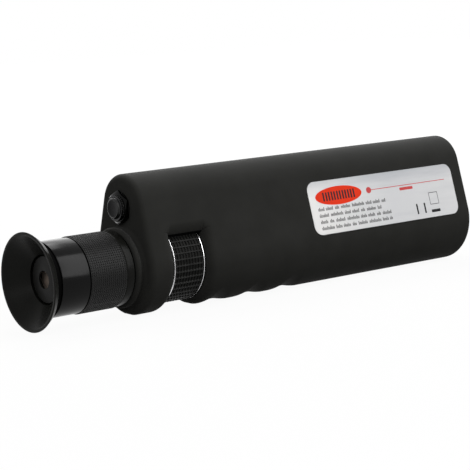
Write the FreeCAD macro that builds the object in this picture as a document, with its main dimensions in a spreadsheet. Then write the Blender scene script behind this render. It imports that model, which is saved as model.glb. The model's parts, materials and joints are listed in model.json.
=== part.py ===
import FreeCAD, Part
import math
import operator
import os
from types import SimpleNamespace

import Sketcher

# Handheld fiber inspection microscope, in millimetres.
# X runs along the optical axis from the eyecup (-X) to the ferrule adapter (+X), +Z is up and the
# label is on the -Y side. The origin is under the middle of the part, on the land that it stands on.

# Driving dimensions. Places along the optical axis are measured from the housing's front face,
# and places inside the eyepiece are measured from the eyecup's rim.
SIZES = {
    # Housing section: a large lower lobe, a small crown lobe and the flats that join them
    "lobe_radius": 20.0,
    "crown_radius": 13.35,
    "lobe_spacing": 24.2,
    "land_width": 5.0,
    "housing_length": 181.7,
    "front_round": 2.5,
    "rear_round": 1.5,
    "lobe_wall": 3.8,
    "crown_wall": 2.4,
    "front_wall": 3.0,
    # Collar round the eyepiece
    "collar_reach": 4.4,
    "collar_radius": 16.4,
    "collar_round": 1.2,
    "collar_lip": 0.5,
    "collar_sink": 0.1,
    "neck_gap": 0.5,
    # Finger grooves underneath
    "groove_pitch": 19.2,
    "groove_depth": 1.1,
    "groove_axis_rise": 3.0,
    "groove_count": 3,
    "groove_sweep": 176.0,
    # Focus wheel and the window that shows it
    "wheel_middle": 20.85,
    "wheel_width": 16.1,
    "wheel_radius": 17.2,
    "wheel_chamfer": 0.6,
    "wheel_side_gap": 0.5,
    "wheel_rim_gap": 0.5,
    "wheel_teeth": 42,
    "tooth_gap": 1.0,
    "tooth_depth": 0.7,
    "window_round": 3.6,
    "window_sweep": 262.0,
    "bulkhead": 4.0,
    "bearing_radius": 11.8,
    "hub_radius": 10.0,
    # Fits
    "running_gap": 0.05,
    "seat_gap": 0.02,
    "cover_gap": 0.15,
    "loose_gap": 0.3,
    # Eyecup and eyepiece
    "eyepiece_reach": 45.2,
    "cup_radius": 19.8,
    "cup_lip": 1.2,
    "cup_lip_round": 0.65,
    "cup_back": 6.5,
    "cup_flare": 3.0,
    "cup_flare_radius": 17.7,
    "cup_neck": 5.0,
    "cup_neck_radius": 14.7,
    "cup_sweep": 2.6,
    "cup_throat": 7.6,
    "cup_throat_radius": 9.8,
    "plug_radius": 12.4,
    "plug_length": 5.5,
    "plug_wall": 1.8,
    "barrel_radius": 14.9,
    "barrel_seat_radius": 14.0,
    "barrel_bore": 9.0,
    "nose_setback": 2.4,
    "grip_start": 19.6,
    "grip_gap": 0.5,
    "grip_radius": 15.6,
    "grip_lip_length": 3.6,
    "grip_lip_radius": 15.2,
    "spigot_radius": 13.6,
    "spigot_start": 1.0,
    "spigot_length": 6.6,
    "lens_edge": 2.0,
    "lens_sag": 1.6,
    "lens_rim": 1.05,
    "retainer_radius": 9.4,
    "retainer_hole": 3.5,
    "retainer_disc": 1.0,
    "retainer_flange": 2.6,
    "retainer_edge": 1.8,
    "retainer_skirt": 0.7,
    "spacer_length": 23.6,
    "stop_length": 6.0,
    "stop_hole": 5.2,
    # Focus carriage
    "tube_front": 11.0,
    "tube_radius": 8.6,
    "tube_wall": 1.4,
    "pin_place": 40.0,
    "pin_radius": 1.25,
    "pin_seat": 0.8,
    "rail_length": 13.0,
    "rail_width": 2.7,
    "rail_low": 9.5,
    "splitter_setback": 8.0,
    "splitter_half": 5.0,
    "splitter_width": 9.6,
    "splitter_thick": 1.0,
    "splitter_sleeve": 12.0,
    "splitter_sleeve_wall": 1.6,
    "led_radius": 2.5,
    "led_flange": 0.4,
    "led_flange_thick": 1.0,
    "led_tip": 7.6,
    "led_gap": 0.1,
    "holder_length": 12.0,
    "holder_width": 10.0,
    "holder_top": 14.5,
    "board_margin": 0.6,
    "board_thick": 1.2,
    "cell_plug": 10.0,
    "cell_shoulder": 3.0,
    "cell_barrel": 28.0,
    "cell_radius": 6.5,
    "cell_bore": 4.6,
    "cell_lip": 1.2,
    "cell_window": 3.2,
    "objective_lens_edge": 2.0,
    "objective_lens_sag": 0.9,
    "objective_lens_gap": 8.0,
    # Rear cover, adapter mount and ferrule adapter
    "cover_thick": 4.0,
    "boss_root": 0.4,
    "cover_rim": 0.5,
    "boss_length": 14.0,
    "boss_low_drop": 7.5,
    "boss_high_rise": 12.5,
    "screw_radius": 1.1,
    "screw_length": 10.0,
    "screw_hole": 1.3,
    "screw_head_radius": 1.9,
    "screw_head_thick": 1.6,
    "sleeve_room": 10.2,
    "mount_sleeve_wall": 1.6,
    "mount_flange_radius": 10.0,
    "mount_flange_thick": 2.5,
    "mount_guide_end": 9.0,
    "focus_room": 5.7,
    "nose_radius": 8.0,
    "nose_length": 8.0,
    "nose_bore": 4.5,
    "ring_nut_radius": 9.8,
    "ring_nut_thick": 2.2,
    "adapter_reach": 11.0,
    "adapter_radius": 9.2,
    "adapter_end": 2.8,
    "adapter_skirt_gap": 0.4,
    "adapter_edge": 0.8,
    "ferrule_bore": 1.255,
    "ferrule_sleeve_wall": 1.4,
    "ferrule_sleeve_depth": 2.0,
    # Push switch in the front face
    "switch_bore": 4.4,
    "bushing_radius": 5.1,
    "bushing_reach": 2.9,
    "switch_radius": 6.4,
    "switch_depth": 16.0,
    "switch_floor": 9.0,
    "terminal_spread": 5.0,
    "terminal_width": 2.0,
    "terminal_thick": 0.6,
    "terminal_length": 4.0,
    "spot_depth": 0.3,
    "washer_radius": 6.4,
    "washer_rise": 0.5,
    "nut_flat": 12.4,
    "nut_thick": 1.2,
    "button_gap": 0.08,
    "button_reach": 3.9,
    "button_skirt": 4.5,
    "button_roof": 1.8,
    "button_dish": 0.35,
    "button_edge": 0.6,
    "button_wall": 1.2,
    "button_spring_radius": 3.0,
    "button_spring_wall": 0.9,
    # Battery tube, cells and cap
    "upper_bore": 9.2,
    "tube_flange_thick": 2.0,
    "tube_flange_wall": 1.2,
    "battery_radius": 5.2,
    "battery_length": 44.5,
    "battery_nub_radius": 1.9,
    "battery_nub_length": 1.2,
    "battery_gap": 0.25,
    "battery_tube_wall": 1.25,
    "contact_thick": 1.8,
    "contact_radius": 4.6,
    "mouth_radius": 9.0,
    "mouth_length": 14.0,
    "cap_bore": 7.7,
    "cap_bore_depth": 10.0,
    "cap_gap": 0.08,
    "cap_plug_length": 9.0,
    "cap_recess_depth": 3.0,
    "cap_recess_radius": 5.0,
    "cap_flange_thick": 1.7,
    "cap_slot_width": 1.8,
    "cap_slot_depth": 1.0,
    "cap_edge": 0.5,
    "seal_thick": 0.8,
    "seal_gap": 0.05,
    "cap_spring_radius": 4.3,
    "cap_spring_wall": 1.0,
    # Label on the near flat
    "label_front": 86.8,
    "label_length": 87.6,
    "label_low": 2.0,
    "label_high": 21.2,
    "label_round": 4.0,
    "label_thick": 0.25,
}

OPERATIONS = {
    "+": operator.add,
    "-": operator.sub,
    "*": operator.mul,
    "/": operator.truediv,
}


class Size:
    """A number together with the sheet expression that gives it."""

    def __init__(self, value, text):
        self.value = value
        self.text = text

    def __add__(self, other):
        return combined(self, "+", other)

    def __radd__(self, other):
        return combined(other, "+", self)

    def __sub__(self, other):
        return combined(self, "-", other)

    def __rsub__(self, other):
        return combined(other, "-", self)

    def __mul__(self, other):
        return combined(self, "*", other)

    def __rmul__(self, other):
        return combined(other, "*", self)

    def __truediv__(self, other):
        return combined(self, "/", other)

    def __neg__(self):
        return combined(0, "-", self)


def as_size(number):
    if isinstance(number, Size):
        return number
    return Size(float(number), str(float(number)))


def combined(left, sign, right):
    left = as_size(left)
    right = as_size(right)
    value = OPERATIONS[sign](left.value, right.value)
    return Size(value, "(%s %s %s)" % (left.text, sign, right.text))


def root(size):
    return Size(math.sqrt(size.value), "sqrt(%s)" % size.text)


def cap_radius(half_chord, sag):
    """Radius of the arc with this half chord and this height."""
    return (half_chord * half_chord + sag * sag) / (2 * sag)


doc = FreeCAD.newDocument("fiber_inspection_microscope")
sheet = doc.addObject("Spreadsheet::Sheet", "Sizes")
for row, (name, number) in enumerate(SIZES.items(), start=1):
    sheet.set("A%d" % row, name)
    sheet.set("B%d" % row, str(number))
    sheet.setAlias("B%d" % row, name)
doc.recompute()

s = SimpleNamespace(**{name: Size(float(number), "Sizes." + name) for name, number in SIZES.items()})
nodes = []


# Places that several pieces share
overall_length = s.eyepiece_reach + s.housing_length + s.adapter_reach
front_x = s.eyepiece_reach - overall_length / 2
half_land = s.land_width / 2
diagonal = root(as_size(2))
axis_height = root(s.lobe_radius * s.lobe_radius - half_land * half_land)
crown_height = axis_height + s.lobe_spacing

optical_place = (front_x, axis_height)
crown_place = (front_x, crown_height)
eyepiece_place = (front_x - s.eyepiece_reach, axis_height)

inner_lobe = s.lobe_radius - s.lobe_wall
inner_crown = s.crown_radius - s.crown_wall
wheel_front = s.wheel_middle - s.wheel_width / 2
wheel_rear = s.wheel_middle + s.wheel_width / 2
slot_front = wheel_front - s.wheel_side_gap
slot_rear = wheel_rear + s.wheel_side_gap
front_bulkhead = slot_front - s.bulkhead
cavity_front = slot_rear + s.bulkhead
cover_face = s.housing_length - s.cover_thick
neck_bore = s.barrel_seat_radius + s.neck_gap
spigot_bore = s.spigot_radius + s.running_gap
tube_bore = s.tube_radius - s.tube_wall
tube_flange = inner_crown - s.cover_gap
rail_top = s.lobe_spacing - tube_flange - s.loose_gap
boss_inset = s.screw_head_radius + s.running_gap + s.cover_rim + s.cover_gap


# Sketch helpers
def origin_plane(body, role):
    return next(plane for plane in body.Origin.OriginFeatures if plane.Role == role)


def new_body(label, place):
    """A body at (x, z) on the middle plane."""
    body = doc.addObject("PartDesign::Body", label)
    body.Label = label
    along, up = place
    body.Placement = FreeCAD.Placement(FreeCAD.Vector(along.value, 0, up.value), FreeCAD.Rotation())
    body.setExpression("Placement.Base.x", along.text)
    body.setExpression("Placement.Base.z", up.text)
    return body


def new_sketch(body, name, role, offset=None, rise=None):
    """A sketch on one of the body's own planes, moved along its normal or up in its plane."""
    sketch = body.newObject("Sketcher::SketchObject", name)
    sketch.AttachmentSupport = [(origin_plane(body, role), "")]
    sketch.MapMode = "FlatFace"
    if offset is not None:
        sketch.setExpression("AttachmentOffset.Base.z", offset.text)
    if rise is not None:
        sketch.setExpression("AttachmentOffset.Base.y", rise.text)
    return sketch


def hold(sketch, kind, where, size):
    """Add one dimension to a sketch and bind it."""
    index = sketch.addConstraint(Sketcher.Constraint(kind, *where, size.value))
    sketch.setExpression("Constraints[%d]" % index, size.text)


def pin_point(sketch, geometry, end, across, up):
    """Hold one end of a segment at (across, up) from the sketch's origin."""
    for kind, axis, size in (("DistanceX", -2, across), ("DistanceY", -1, up)):
        if isinstance(size, Size):
            hold(sketch, kind, (-1, 1, geometry, end), size)
        elif size == 0:
            sketch.addConstraint(Sketcher.Constraint("PointOnObject", geometry, end, axis))
        else:
            raise ValueError("a sketch place is neither a named size nor zero")


def arc_between(start, end, radius, side):
    """The short arc from start to end with its centre on the left or on the right."""
    chord = end.sub(start)
    height = math.sqrt(max(radius * radius - chord.Length * chord.Length / 4, 0))
    left = FreeCAD.Vector(-chord.y, chord.x, 0).normalize()
    turn = 1 if side == "left" else -1
    centre = start.add(end).multiply(0.5).add(left.multiply(turn * height))
    first, last = (start, end) if side == "left" else (end, start)
    begin = math.atan2(first.y - centre.y, first.x - centre.x)
    finish = math.atan2(last.y - centre.y, last.x - centre.x)
    if finish < begin:
        finish += 2 * math.pi
    return Part.ArcOfCircle(Part.Circle(centre, FreeCAD.Vector(0, 0, 1), radius), begin, finish)


def draw_outline(sketch, corners):
    """A closed outline. A corner is (x, y), or (x, y, radius, side) where an arc leads to it."""
    points = [FreeCAD.Vector(as_size(c[0]).value, as_size(c[1]).value, 0) for c in corners]
    base = sketch.GeometryCount
    count = len(corners)
    ends = []
    for index, corner in enumerate(corners):
        start = points[index - 1]
        if len(corner) == 2:
            sketch.addGeometry(Part.LineSegment(start, points[index]), False)
            ends.append((1, 2))
        else:
            radius, side = corner[2], corner[3]
            sketch.addGeometry(arc_between(start, points[index], radius.value, side), False)
            ends.append((1, 2) if side == "left" else (2, 1))
    for index in range(count):
        after = (index + 1) % count
        join = Sketcher.Constraint("Coincident", base + index, ends[index][1], base + after, ends[after][0])
        sketch.addConstraint(join)
    for index, corner in enumerate(corners):
        pin_point(sketch, base + index, ends[index][1], corner[0], corner[1])
        if len(corner) == 4:
            hold(sketch, "Radius", (base + index,), corner[2])


def draw_circle(sketch, across, up, radius):
    centre = FreeCAD.Vector(as_size(across).value, as_size(up).value, 0)
    geometry = sketch.addGeometry(Part.Circle(centre, FreeCAD.Vector(0, 0, 1), radius.value), False)
    pin_point(sketch, geometry, 3, across, up)
    hold(sketch, "Radius", (geometry,), radius)


def draw_box(sketch, left, right, low, high):
    draw_outline(sketch, [(left, low), (right, low), (right, high), (left, high)])


# Feature helpers
def spin(body, kind, sketch, name, sweep=None):
    """Turn a sketch about its own horizontal axis."""
    feature = body.newObject("PartDesign::" + kind, name)
    feature.Profile = sketch
    feature.ReferenceAxis = (sketch, ["H_Axis"])
    feature.Angle = 360
    if sweep is not None:
        feature.Midplane = True
        feature.setExpression("Angle", sweep.text)
    return feature


def push(body, kind, sketch, name, length, reversed_way=False, both_ways=False):
    """Pad or pocket a sketch along its normal."""
    feature = body.newObject("PartDesign::" + kind, name)
    feature.Profile = sketch
    feature.Reversed = reversed_way
    feature.Midplane = both_ways
    feature.Length = length.value
    feature.setExpression("Length", length.text)
    return feature


def finish(label, item):
    """Name a finished sub-part and keep it for export."""
    item.Label = label
    nodes.append(item)
    return item


def turned(label, place, corners):
    """A piece turned about its own X axis."""
    body = new_body(label, place)
    sketch = new_sketch(body, label + "_profile", "XZ_Plane")
    draw_outline(sketch, corners)
    spin(body, "Revolution", sketch, label + "_turned")
    return finish(label, body)


def ring(label, place, start, end, inner, outer):
    return turned(label, place, [(start, inner), (start, outer), (end, outer), (end, inner)])


def check_cut(body, before, name):
    """Stop where a cut has taken nothing away."""
    doc.recompute()
    if not body.Shape.Volume < before - 0.001:
        raise RuntimeError("%s cut nothing" % name)


# Pear section shared by the housing, its cavity and the rear cover
def pear_corners(lobe, crown, land_drop):
    """Two lobes and the flats that join them, with a level land at the bottom."""
    lean_sin = (lobe - crown) / s.lobe_spacing
    lean_cos = root(1 - lean_sin * lean_sin)
    half_width = root(lobe * lobe - land_drop * land_drop)
    lobe_side = (lobe * lean_cos, lobe * lean_sin)
    crown_side = (crown * lean_cos, s.lobe_spacing + crown * lean_sin)
    return [
        (half_width, -land_drop),
        (lobe_side[0], lobe_side[1], lobe, "left"),
        crown_side,
        (-crown_side[0], crown_side[1], crown, "left"),
        (-lobe_side[0], lobe_side[1]),
        (-half_width, -land_drop, lobe, "left"),
    ]


def boss_places(lobe, crown):
    """Centres of the four cover screws, close to the wall of the cavity."""
    reach = lobe - boss_inset
    low_y = root(reach * reach - s.boss_low_drop * s.boss_low_drop)
    lean_sin = (lobe - crown) / s.lobe_spacing
    lean_cos = root(1 - lean_sin * lean_sin)
    high_y = (reach - s.boss_high_rise * lean_sin) / lean_cos
    places = []
    for side in (-1, 1):
        places.append((side * low_y, -s.boss_low_drop))
        places.append((side * high_y, s.boss_high_rise))
    return places


cavity_land = axis_height - s.lobe_wall
screw_places = boss_places(inner_lobe, inner_crown)


# Housing
def edges_at(shape, along):
    """Names of the edges that lie wholly in the plane x = along."""
    names = []
    for index, edge in enumerate(shape.Edges, start=1):
        box = edge.BoundBox
        if abs(box.XMin - along) < 1e-6 and abs(box.XMax - along) < 1e-6:
            names.append("Edge%d" % index)
    return names


def round_end(body, base, name, along, radius):
    """Round the outline of one end of the housing."""
    doc.recompute()
    feature = body.newObject("PartDesign::Fillet", name)
    feature.Base = (base, edges_at(base.Shape, along))
    feature.Radius = radius.value
    feature.setExpression("Radius", radius.text)
    return feature


def housing_blank(body):
    """The pear-shaped bar with rounded ends and the collar, a bead with a hollow behind it."""
    section = new_sketch(body, "housing_section", "YZ_Plane")
    draw_outline(section, pear_corners(s.lobe_radius, s.crown_radius, axis_height))
    bar = push(body, "Pad", section, "housing_bar", s.housing_length)
    front = round_end(body, bar, "housing_front_round", 0.0, s.front_round)
    round_end(body, front, "housing_rear_round", s.housing_length.value, s.rear_round)
    bead_place = s.collar_reach - s.collar_round
    bead_middle = s.collar_radius - s.collar_round
    bead_half = s.collar_round / diagonal
    hollow = (bead_place - bead_half + s.collar_sink) * diagonal / (diagonal + 1)
    foot = bead_middle + bead_half + hollow / diagonal
    collar = new_sketch(body, "housing_collar_profile", "XZ_Plane")
    draw_outline(collar, [
        (s.front_round, neck_bore),
        (-(s.collar_reach - s.collar_lip), neck_bore),
        (-s.collar_reach, neck_bore + s.collar_lip, s.collar_lip, "right"),
        (-s.collar_reach, bead_middle),
        (bead_half - bead_place, bead_middle + bead_half, s.collar_round, "right"),
        (s.collar_sink, foot, hollow, "left"),
        (s.front_round, foot),
    ])
    spin(body, "Revolution", collar, "housing_collar")


def housing_grooves(body):
    """Finger grooves: one wave, turned under the lobe about a higher axis and repeated."""
    doc.recompute()
    before = body.Shape.Volume
    half = s.groove_pitch / 2
    quarter = s.groove_pitch / 4
    crest = s.lobe_radius + s.groove_axis_rise
    trough = crest - s.groove_depth
    middle = crest - s.groove_depth / 2
    wave = s.groove_depth / 4 + s.groove_pitch * s.groove_pitch / (16 * s.groove_depth)
    first = s.wheel_middle + s.groove_pitch
    profile = new_sketch(body, "finger_groove_profile", "XZ_Plane", rise=s.groove_axis_rise)
    draw_outline(profile, [
        (first - half, -crest),
        (first - quarter, -middle, wave, "right"),
        (first + quarter, -middle, wave, "left"),
        (first + half, -crest, wave, "right"),
        (first + half, -(crest + s.groove_depth)),
        (first - half, -(crest + s.groove_depth)),
    ])
    groove = spin(body, "Groove", profile, "finger_groove", sweep=s.groove_sweep)
    check_cut(body, before, "finger_groove")
    pattern = body.newObject("PartDesign::LinearPattern", "finger_grooves")
    pattern.Originals = [groove]
    pattern.Direction = (origin_axis(body, "X_Axis"), [""])
    pattern.setExpression("Length", ((s.groove_count - 1) * s.groove_pitch).text)
    pattern.setExpression("Occurrences", s.groove_count.text)
    body.Tip = pattern
    check_cut(body, before, "finger_grooves")


def origin_axis(body, role):
    return next(axis for axis in body.Origin.OriginFeatures if axis.Role == role)


def housing_wheel_room(body):
    """The soft-edged window round the wheel and the slot that the wheel turns in."""
    before = body.Shape.Volume
    inside = s.lobe_radius - s.window_round
    outside = s.lobe_radius + s.window_round
    window = new_sketch(body, "wheel_window_profile", "XZ_Plane")
    draw_outline(window, [
        (slot_front, -inside),
        (slot_front - s.window_round, -s.lobe_radius, s.window_round, "right"),
        (slot_front - s.window_round, -outside),
        (slot_rear + s.window_round, -outside),
        (slot_rear + s.window_round, -s.lobe_radius),
        (slot_rear, -inside, s.window_round, "right"),
    ])
    spin(body, "Groove", window, "wheel_window", sweep=s.window_sweep)
    check_cut(body, before, "wheel_window")
    before = body.Shape.Volume
    slot = new_sketch(body, "wheel_slot_profile", "XZ_Plane")
    draw_box(slot, slot_front, slot_rear, 0, s.wheel_radius + s.wheel_rim_gap)
    spin(body, "Groove", slot, "wheel_slot")
    check_cut(body, before, "wheel_slot")


def housing_cavities(body):
    """The long cavity behind the wheel, the room over it and the stepped bore for the eyepiece."""
    before = body.Shape.Volume
    cavity = new_sketch(body, "cavity_section", "YZ_Plane", offset=cavity_front)
    draw_outline(cavity, pear_corners(inner_lobe, inner_crown, cavity_land))
    push(body, "Pocket", cavity, "cavity", s.housing_length - cavity_front, reversed_way=True)
    check_cut(body, before, "cavity")
    before = body.Shape.Volume
    room = new_sketch(body, "switch_room_section", "YZ_Plane", offset=s.front_wall)
    draw_circle(room, 0, s.lobe_spacing, s.upper_bore)
    push(body, "Pocket", room, "switch_room", cavity_front - s.front_wall, reversed_way=True)
    check_cut(body, before, "switch_room")
    before = body.Shape.Volume
    hole = new_sketch(body, "switch_hole_section", "YZ_Plane")
    draw_circle(hole, 0, s.lobe_spacing, s.bushing_radius + s.running_gap)
    push(body, "Pocket", hole, "switch_hole", s.front_wall, reversed_way=True)
    check_cut(body, before, "switch_hole")
    before = body.Shape.Volume
    spot = new_sketch(body, "washer_spot_section", "YZ_Plane", offset=-s.collar_reach)
    draw_circle(spot, 0, s.lobe_spacing, s.washer_radius + s.running_gap)
    push(body, "Pocket", spot, "washer_spot", s.collar_reach + s.spot_depth, reversed_way=True)
    check_cut(body, before, "washer_spot")
    before = body.Shape.Volume
    bore = new_sketch(body, "eyepiece_bore_profile", "XZ_Plane")
    draw_outline(bore, [
        (-(s.collar_reach + s.collar_round), 0),
        (-(s.collar_reach + s.collar_round), neck_bore),
        (s.spigot_start, neck_bore),
        (s.spigot_start, spigot_bore),
        (front_bulkhead, spigot_bore),
        (front_bulkhead, s.bearing_radius),
        (cavity_front, s.bearing_radius),
        (cavity_front, 0),
    ])
    spin(body, "Groove", bore, "eyepiece_bore")
    check_cut(body, before, "eyepiece_bore")


def housing_inner_parts(body):
    """Bosses for the rear cover's screws and the rails that keep the focus carriage from turning."""
    boss_front = cover_face - s.boss_length
    bosses = new_sketch(body, "boss_section", "YZ_Plane", offset=boss_front)
    for across, up in screw_places:
        draw_circle(bosses, across, up, boss_inset + s.boss_root)
    push(body, "Pad", bosses, "bosses", s.boss_length)
    doc.recompute()
    before = body.Shape.Volume
    pilots = new_sketch(body, "pilot_section", "YZ_Plane", offset=cover_face)
    for across, up in screw_places:
        draw_circle(pilots, across, up, s.screw_radius + s.seat_gap)
    push(body, "Pocket", pilots, "pilots", s.screw_length)
    check_cut(body, before, "pilots")
    rails = new_sketch(body, "rail_section", "YZ_Plane", offset=cavity_front)
    rail_inner = s.pin_radius + s.running_gap
    rail_outer = rail_inner + s.rail_width
    draw_box(rails, rail_inner, rail_outer, s.rail_low, rail_top)
    draw_box(rails, -rail_outer, -rail_inner, s.rail_low, rail_top)
    push(body, "Pad", rails, "rails", s.rail_length)


def make_housing():
    body = new_body("housing", optical_place)
    housing_blank(body)
    housing_grooves(body)
    housing_wheel_room(body)
    housing_cavities(body)
    housing_inner_parts(body)
    return finish("housing", body)


# Rear cover and its screws
def make_rear_cover():
    body = new_body("rear_cover", optical_place)
    plate = new_sketch(body, "cover_section", "YZ_Plane", offset=cover_face)
    fit = s.cover_gap
    draw_outline(plate, pear_corners(inner_lobe - fit, inner_crown - fit, cavity_land - fit))
    push(body, "Pad", plate, "cover_plate", s.cover_thick)
    doc.recompute()
    before = body.Shape.Volume
    holes = new_sketch(body, "cover_holes", "YZ_Plane", offset=cover_face)
    draw_circle(holes, 0, 0, s.nose_radius + s.running_gap)
    draw_circle(holes, 0, s.lobe_spacing, s.mouth_radius + s.running_gap)
    for across, up in screw_places:
        draw_circle(holes, across, up, s.screw_hole)
    push(body, "Pocket", holes, "cover_through", s.cover_thick, reversed_way=True)
    check_cut(body, before, "cover_through")
    before = body.Shape.Volume
    sinks = new_sketch(body, "cover_sinks", "YZ_Plane", offset=s.housing_length)
    for across, up in screw_places:
        draw_circle(sinks, across, up, s.screw_head_radius + s.running_gap)
    push(body, "Pocket", sinks, "cover_counterbores", s.screw_head_thick)
    check_cut(body, before, "cover_counterbores")
    return finish("rear_cover", body)


def make_cover_screws():
    """Four like screws, each a head in its counterbore and a shank in its pilot hole."""
    body = new_body("rear_cover_screws", optical_place)
    body.AllowCompound = True
    head_face = s.housing_length - s.screw_head_thick
    heads = new_sketch(body, "screw_heads", "YZ_Plane", offset=head_face)
    shanks = new_sketch(body, "screw_shanks", "YZ_Plane", offset=head_face)
    for across, up in screw_places:
        draw_circle(heads, across, up, s.screw_head_radius)
        draw_circle(shanks, across, up, s.screw_radius)
    push(body, "Pad", heads, "screw_head", s.screw_head_thick)
    grip = s.cover_thick - s.screw_head_thick
    push(body, "Pad", shanks, "screw_shank", grip + s.screw_length - s.loose_gap, reversed_way=True)
    return finish("rear_cover_screws", body)


# Label on the flat of the near side
def make_label_plate():
    lean_sin = (s.lobe_radius - s.crown_radius) / s.lobe_spacing
    lean_cos = root(1 - lean_sin * lean_sin)
    place = (front_x + s.label_front, axis_height + s.lobe_radius * lean_sin)
    body = new_body("label_plate", place)
    lean = math.degrees(math.asin(lean_sin.value))
    body.Placement.Rotation = FreeCAD.Rotation(FreeCAD.Vector(1, 0, 0), -lean)
    body.setExpression("Placement.Rotation.Angle", "-asin(%s)" % lean_sin.text)
    body.setExpression("Placement.Base.y", (-(s.lobe_radius * lean_cos)).text)
    sketch = new_sketch(body, "label_outline", "XZ_Plane")
    low = -s.label_low
    high = s.label_high
    curve = s.label_round
    draw_outline(sketch, [
        (curve, low, curve, "left"),
        (s.label_length - curve, low),
        (s.label_length, low + curve, curve, "left"),
        (s.label_length, high - curve),
        (s.label_length - curve, high, curve, "left"),
        (curve, high),
        (0, high - curve, curve, "left"),
        (0, low + curve),
    ])
    push(body, "Pad", sketch, "label_foil", s.label_thick)
    return finish("label_plate", body)


# Eyepiece, from the eyecup's rim inwards
nose_front = s.cup_throat + s.nose_setback
stack_front = nose_front + s.retainer_skirt
spacer_front = stack_front + s.lens_edge
field_front = spacer_front + s.spacer_length
field_rear = field_front + s.lens_edge
stack_rear = field_rear + s.stop_length
spigot_front = s.eyepiece_reach + s.spigot_start
spigot_end = spigot_front + s.spigot_length
plug_end = s.cup_back + s.plug_length
glass_radius = s.barrel_bore - s.running_gap
clear_radius = glass_radius - s.lens_rim


def make_eyecup():
    half_lip = s.cup_lip / 2
    lip_sag = s.cup_lip_round - root(s.cup_lip_round * s.cup_lip_round - half_lip * half_lip)
    plug_bore = s.plug_radius - s.plug_wall
    return turned("eyecup", eyepiece_place, [
        (lip_sag, s.cup_radius - s.cup_lip),
        (lip_sag, s.cup_radius, s.cup_lip_round, "right"),
        (s.cup_flare, s.cup_flare_radius),
        (s.cup_neck, s.cup_neck_radius, s.cup_sweep, "left"),
        (s.cup_back, s.cup_neck_radius),
        (s.cup_back, s.plug_radius),
        (plug_end, s.plug_radius),
        (plug_end, plug_bore),
        (s.cup_throat, plug_bore),
        (s.cup_throat, s.cup_throat_radius),
    ])


def make_eyepiece_barrel():
    groove_outer = s.plug_radius + s.running_gap
    groove_inner = s.plug_radius - s.plug_wall - s.running_gap
    groove_end = plug_end + s.running_gap
    return turned("eyepiece_barrel", eyepiece_place, [
        (nose_front, s.barrel_bore),
        (nose_front, groove_inner),
        (groove_end, groove_inner),
        (groove_end, groove_outer),
        (s.cup_back, groove_outer),
        (s.cup_back, s.barrel_radius),
        (s.grip_start, s.barrel_radius),
        (s.grip_start, s.barrel_seat_radius),
        (spigot_front, s.barrel_seat_radius),
        (spigot_front, s.spigot_radius),
        (spigot_end, s.spigot_radius),
        (spigot_end, clear_radius),
        (stack_rear, clear_radius),
        (stack_rear, s.barrel_bore),
    ])


def make_grip_ring():
    inner = s.barrel_seat_radius + s.running_gap
    lip_end = s.eyepiece_reach - s.collar_reach - s.grip_gap
    grip_end = lip_end - s.grip_lip_length
    return turned("grip_ring", eyepiece_place, [
        (s.grip_start, inner),
        (s.grip_start, s.grip_radius),
        (grip_end, s.grip_radius),
        (grip_end, s.grip_lip_radius),
        (lip_end, s.grip_lip_radius),
        (lip_end, inner),
    ])


def make_eyepiece_optics():
    """Two plano-convex lenses face to face in the barrel, with what clamps and parts them."""
    curve = cap_radius(clear_radius, s.lens_sag)
    turned("eye_lens_retainer", eyepiece_place, [
        (nose_front - s.retainer_flange, s.retainer_hole),
        (nose_front - s.retainer_edge, s.retainer_radius),
        (nose_front, s.retainer_radius),
        (nose_front, glass_radius),
        (stack_front, glass_radius),
        (stack_front, clear_radius),
        (nose_front - s.retainer_edge + s.retainer_disc, clear_radius),
        (nose_front - s.retainer_flange + s.retainer_disc, s.retainer_hole),
    ])
    turned("eye_lens", eyepiece_place, [
        (stack_front, 0),
        (stack_front, glass_radius),
        (spacer_front, glass_radius),
        (spacer_front, clear_radius),
        (spacer_front + s.lens_sag, 0, curve, "right"),
    ])
    ring("lens_spacer", eyepiece_place, spacer_front, field_front, clear_radius, glass_radius)
    turned("field_lens", eyepiece_place, [
        (field_rear, 0),
        (field_rear, glass_radius),
        (field_front, glass_radius),
        (field_front, clear_radius),
        (field_front - s.lens_sag, 0, curve, "left"),
    ])
    turned("field_stop", eyepiece_place, [
        (field_rear, clear_radius),
        (field_rear, glass_radius),
        (stack_rear, glass_radius),
        (stack_rear, s.stop_hole),
        (stack_rear - s.lens_rim, s.stop_hole),
        (stack_rear - s.lens_rim, clear_radius),
    ])


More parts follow.
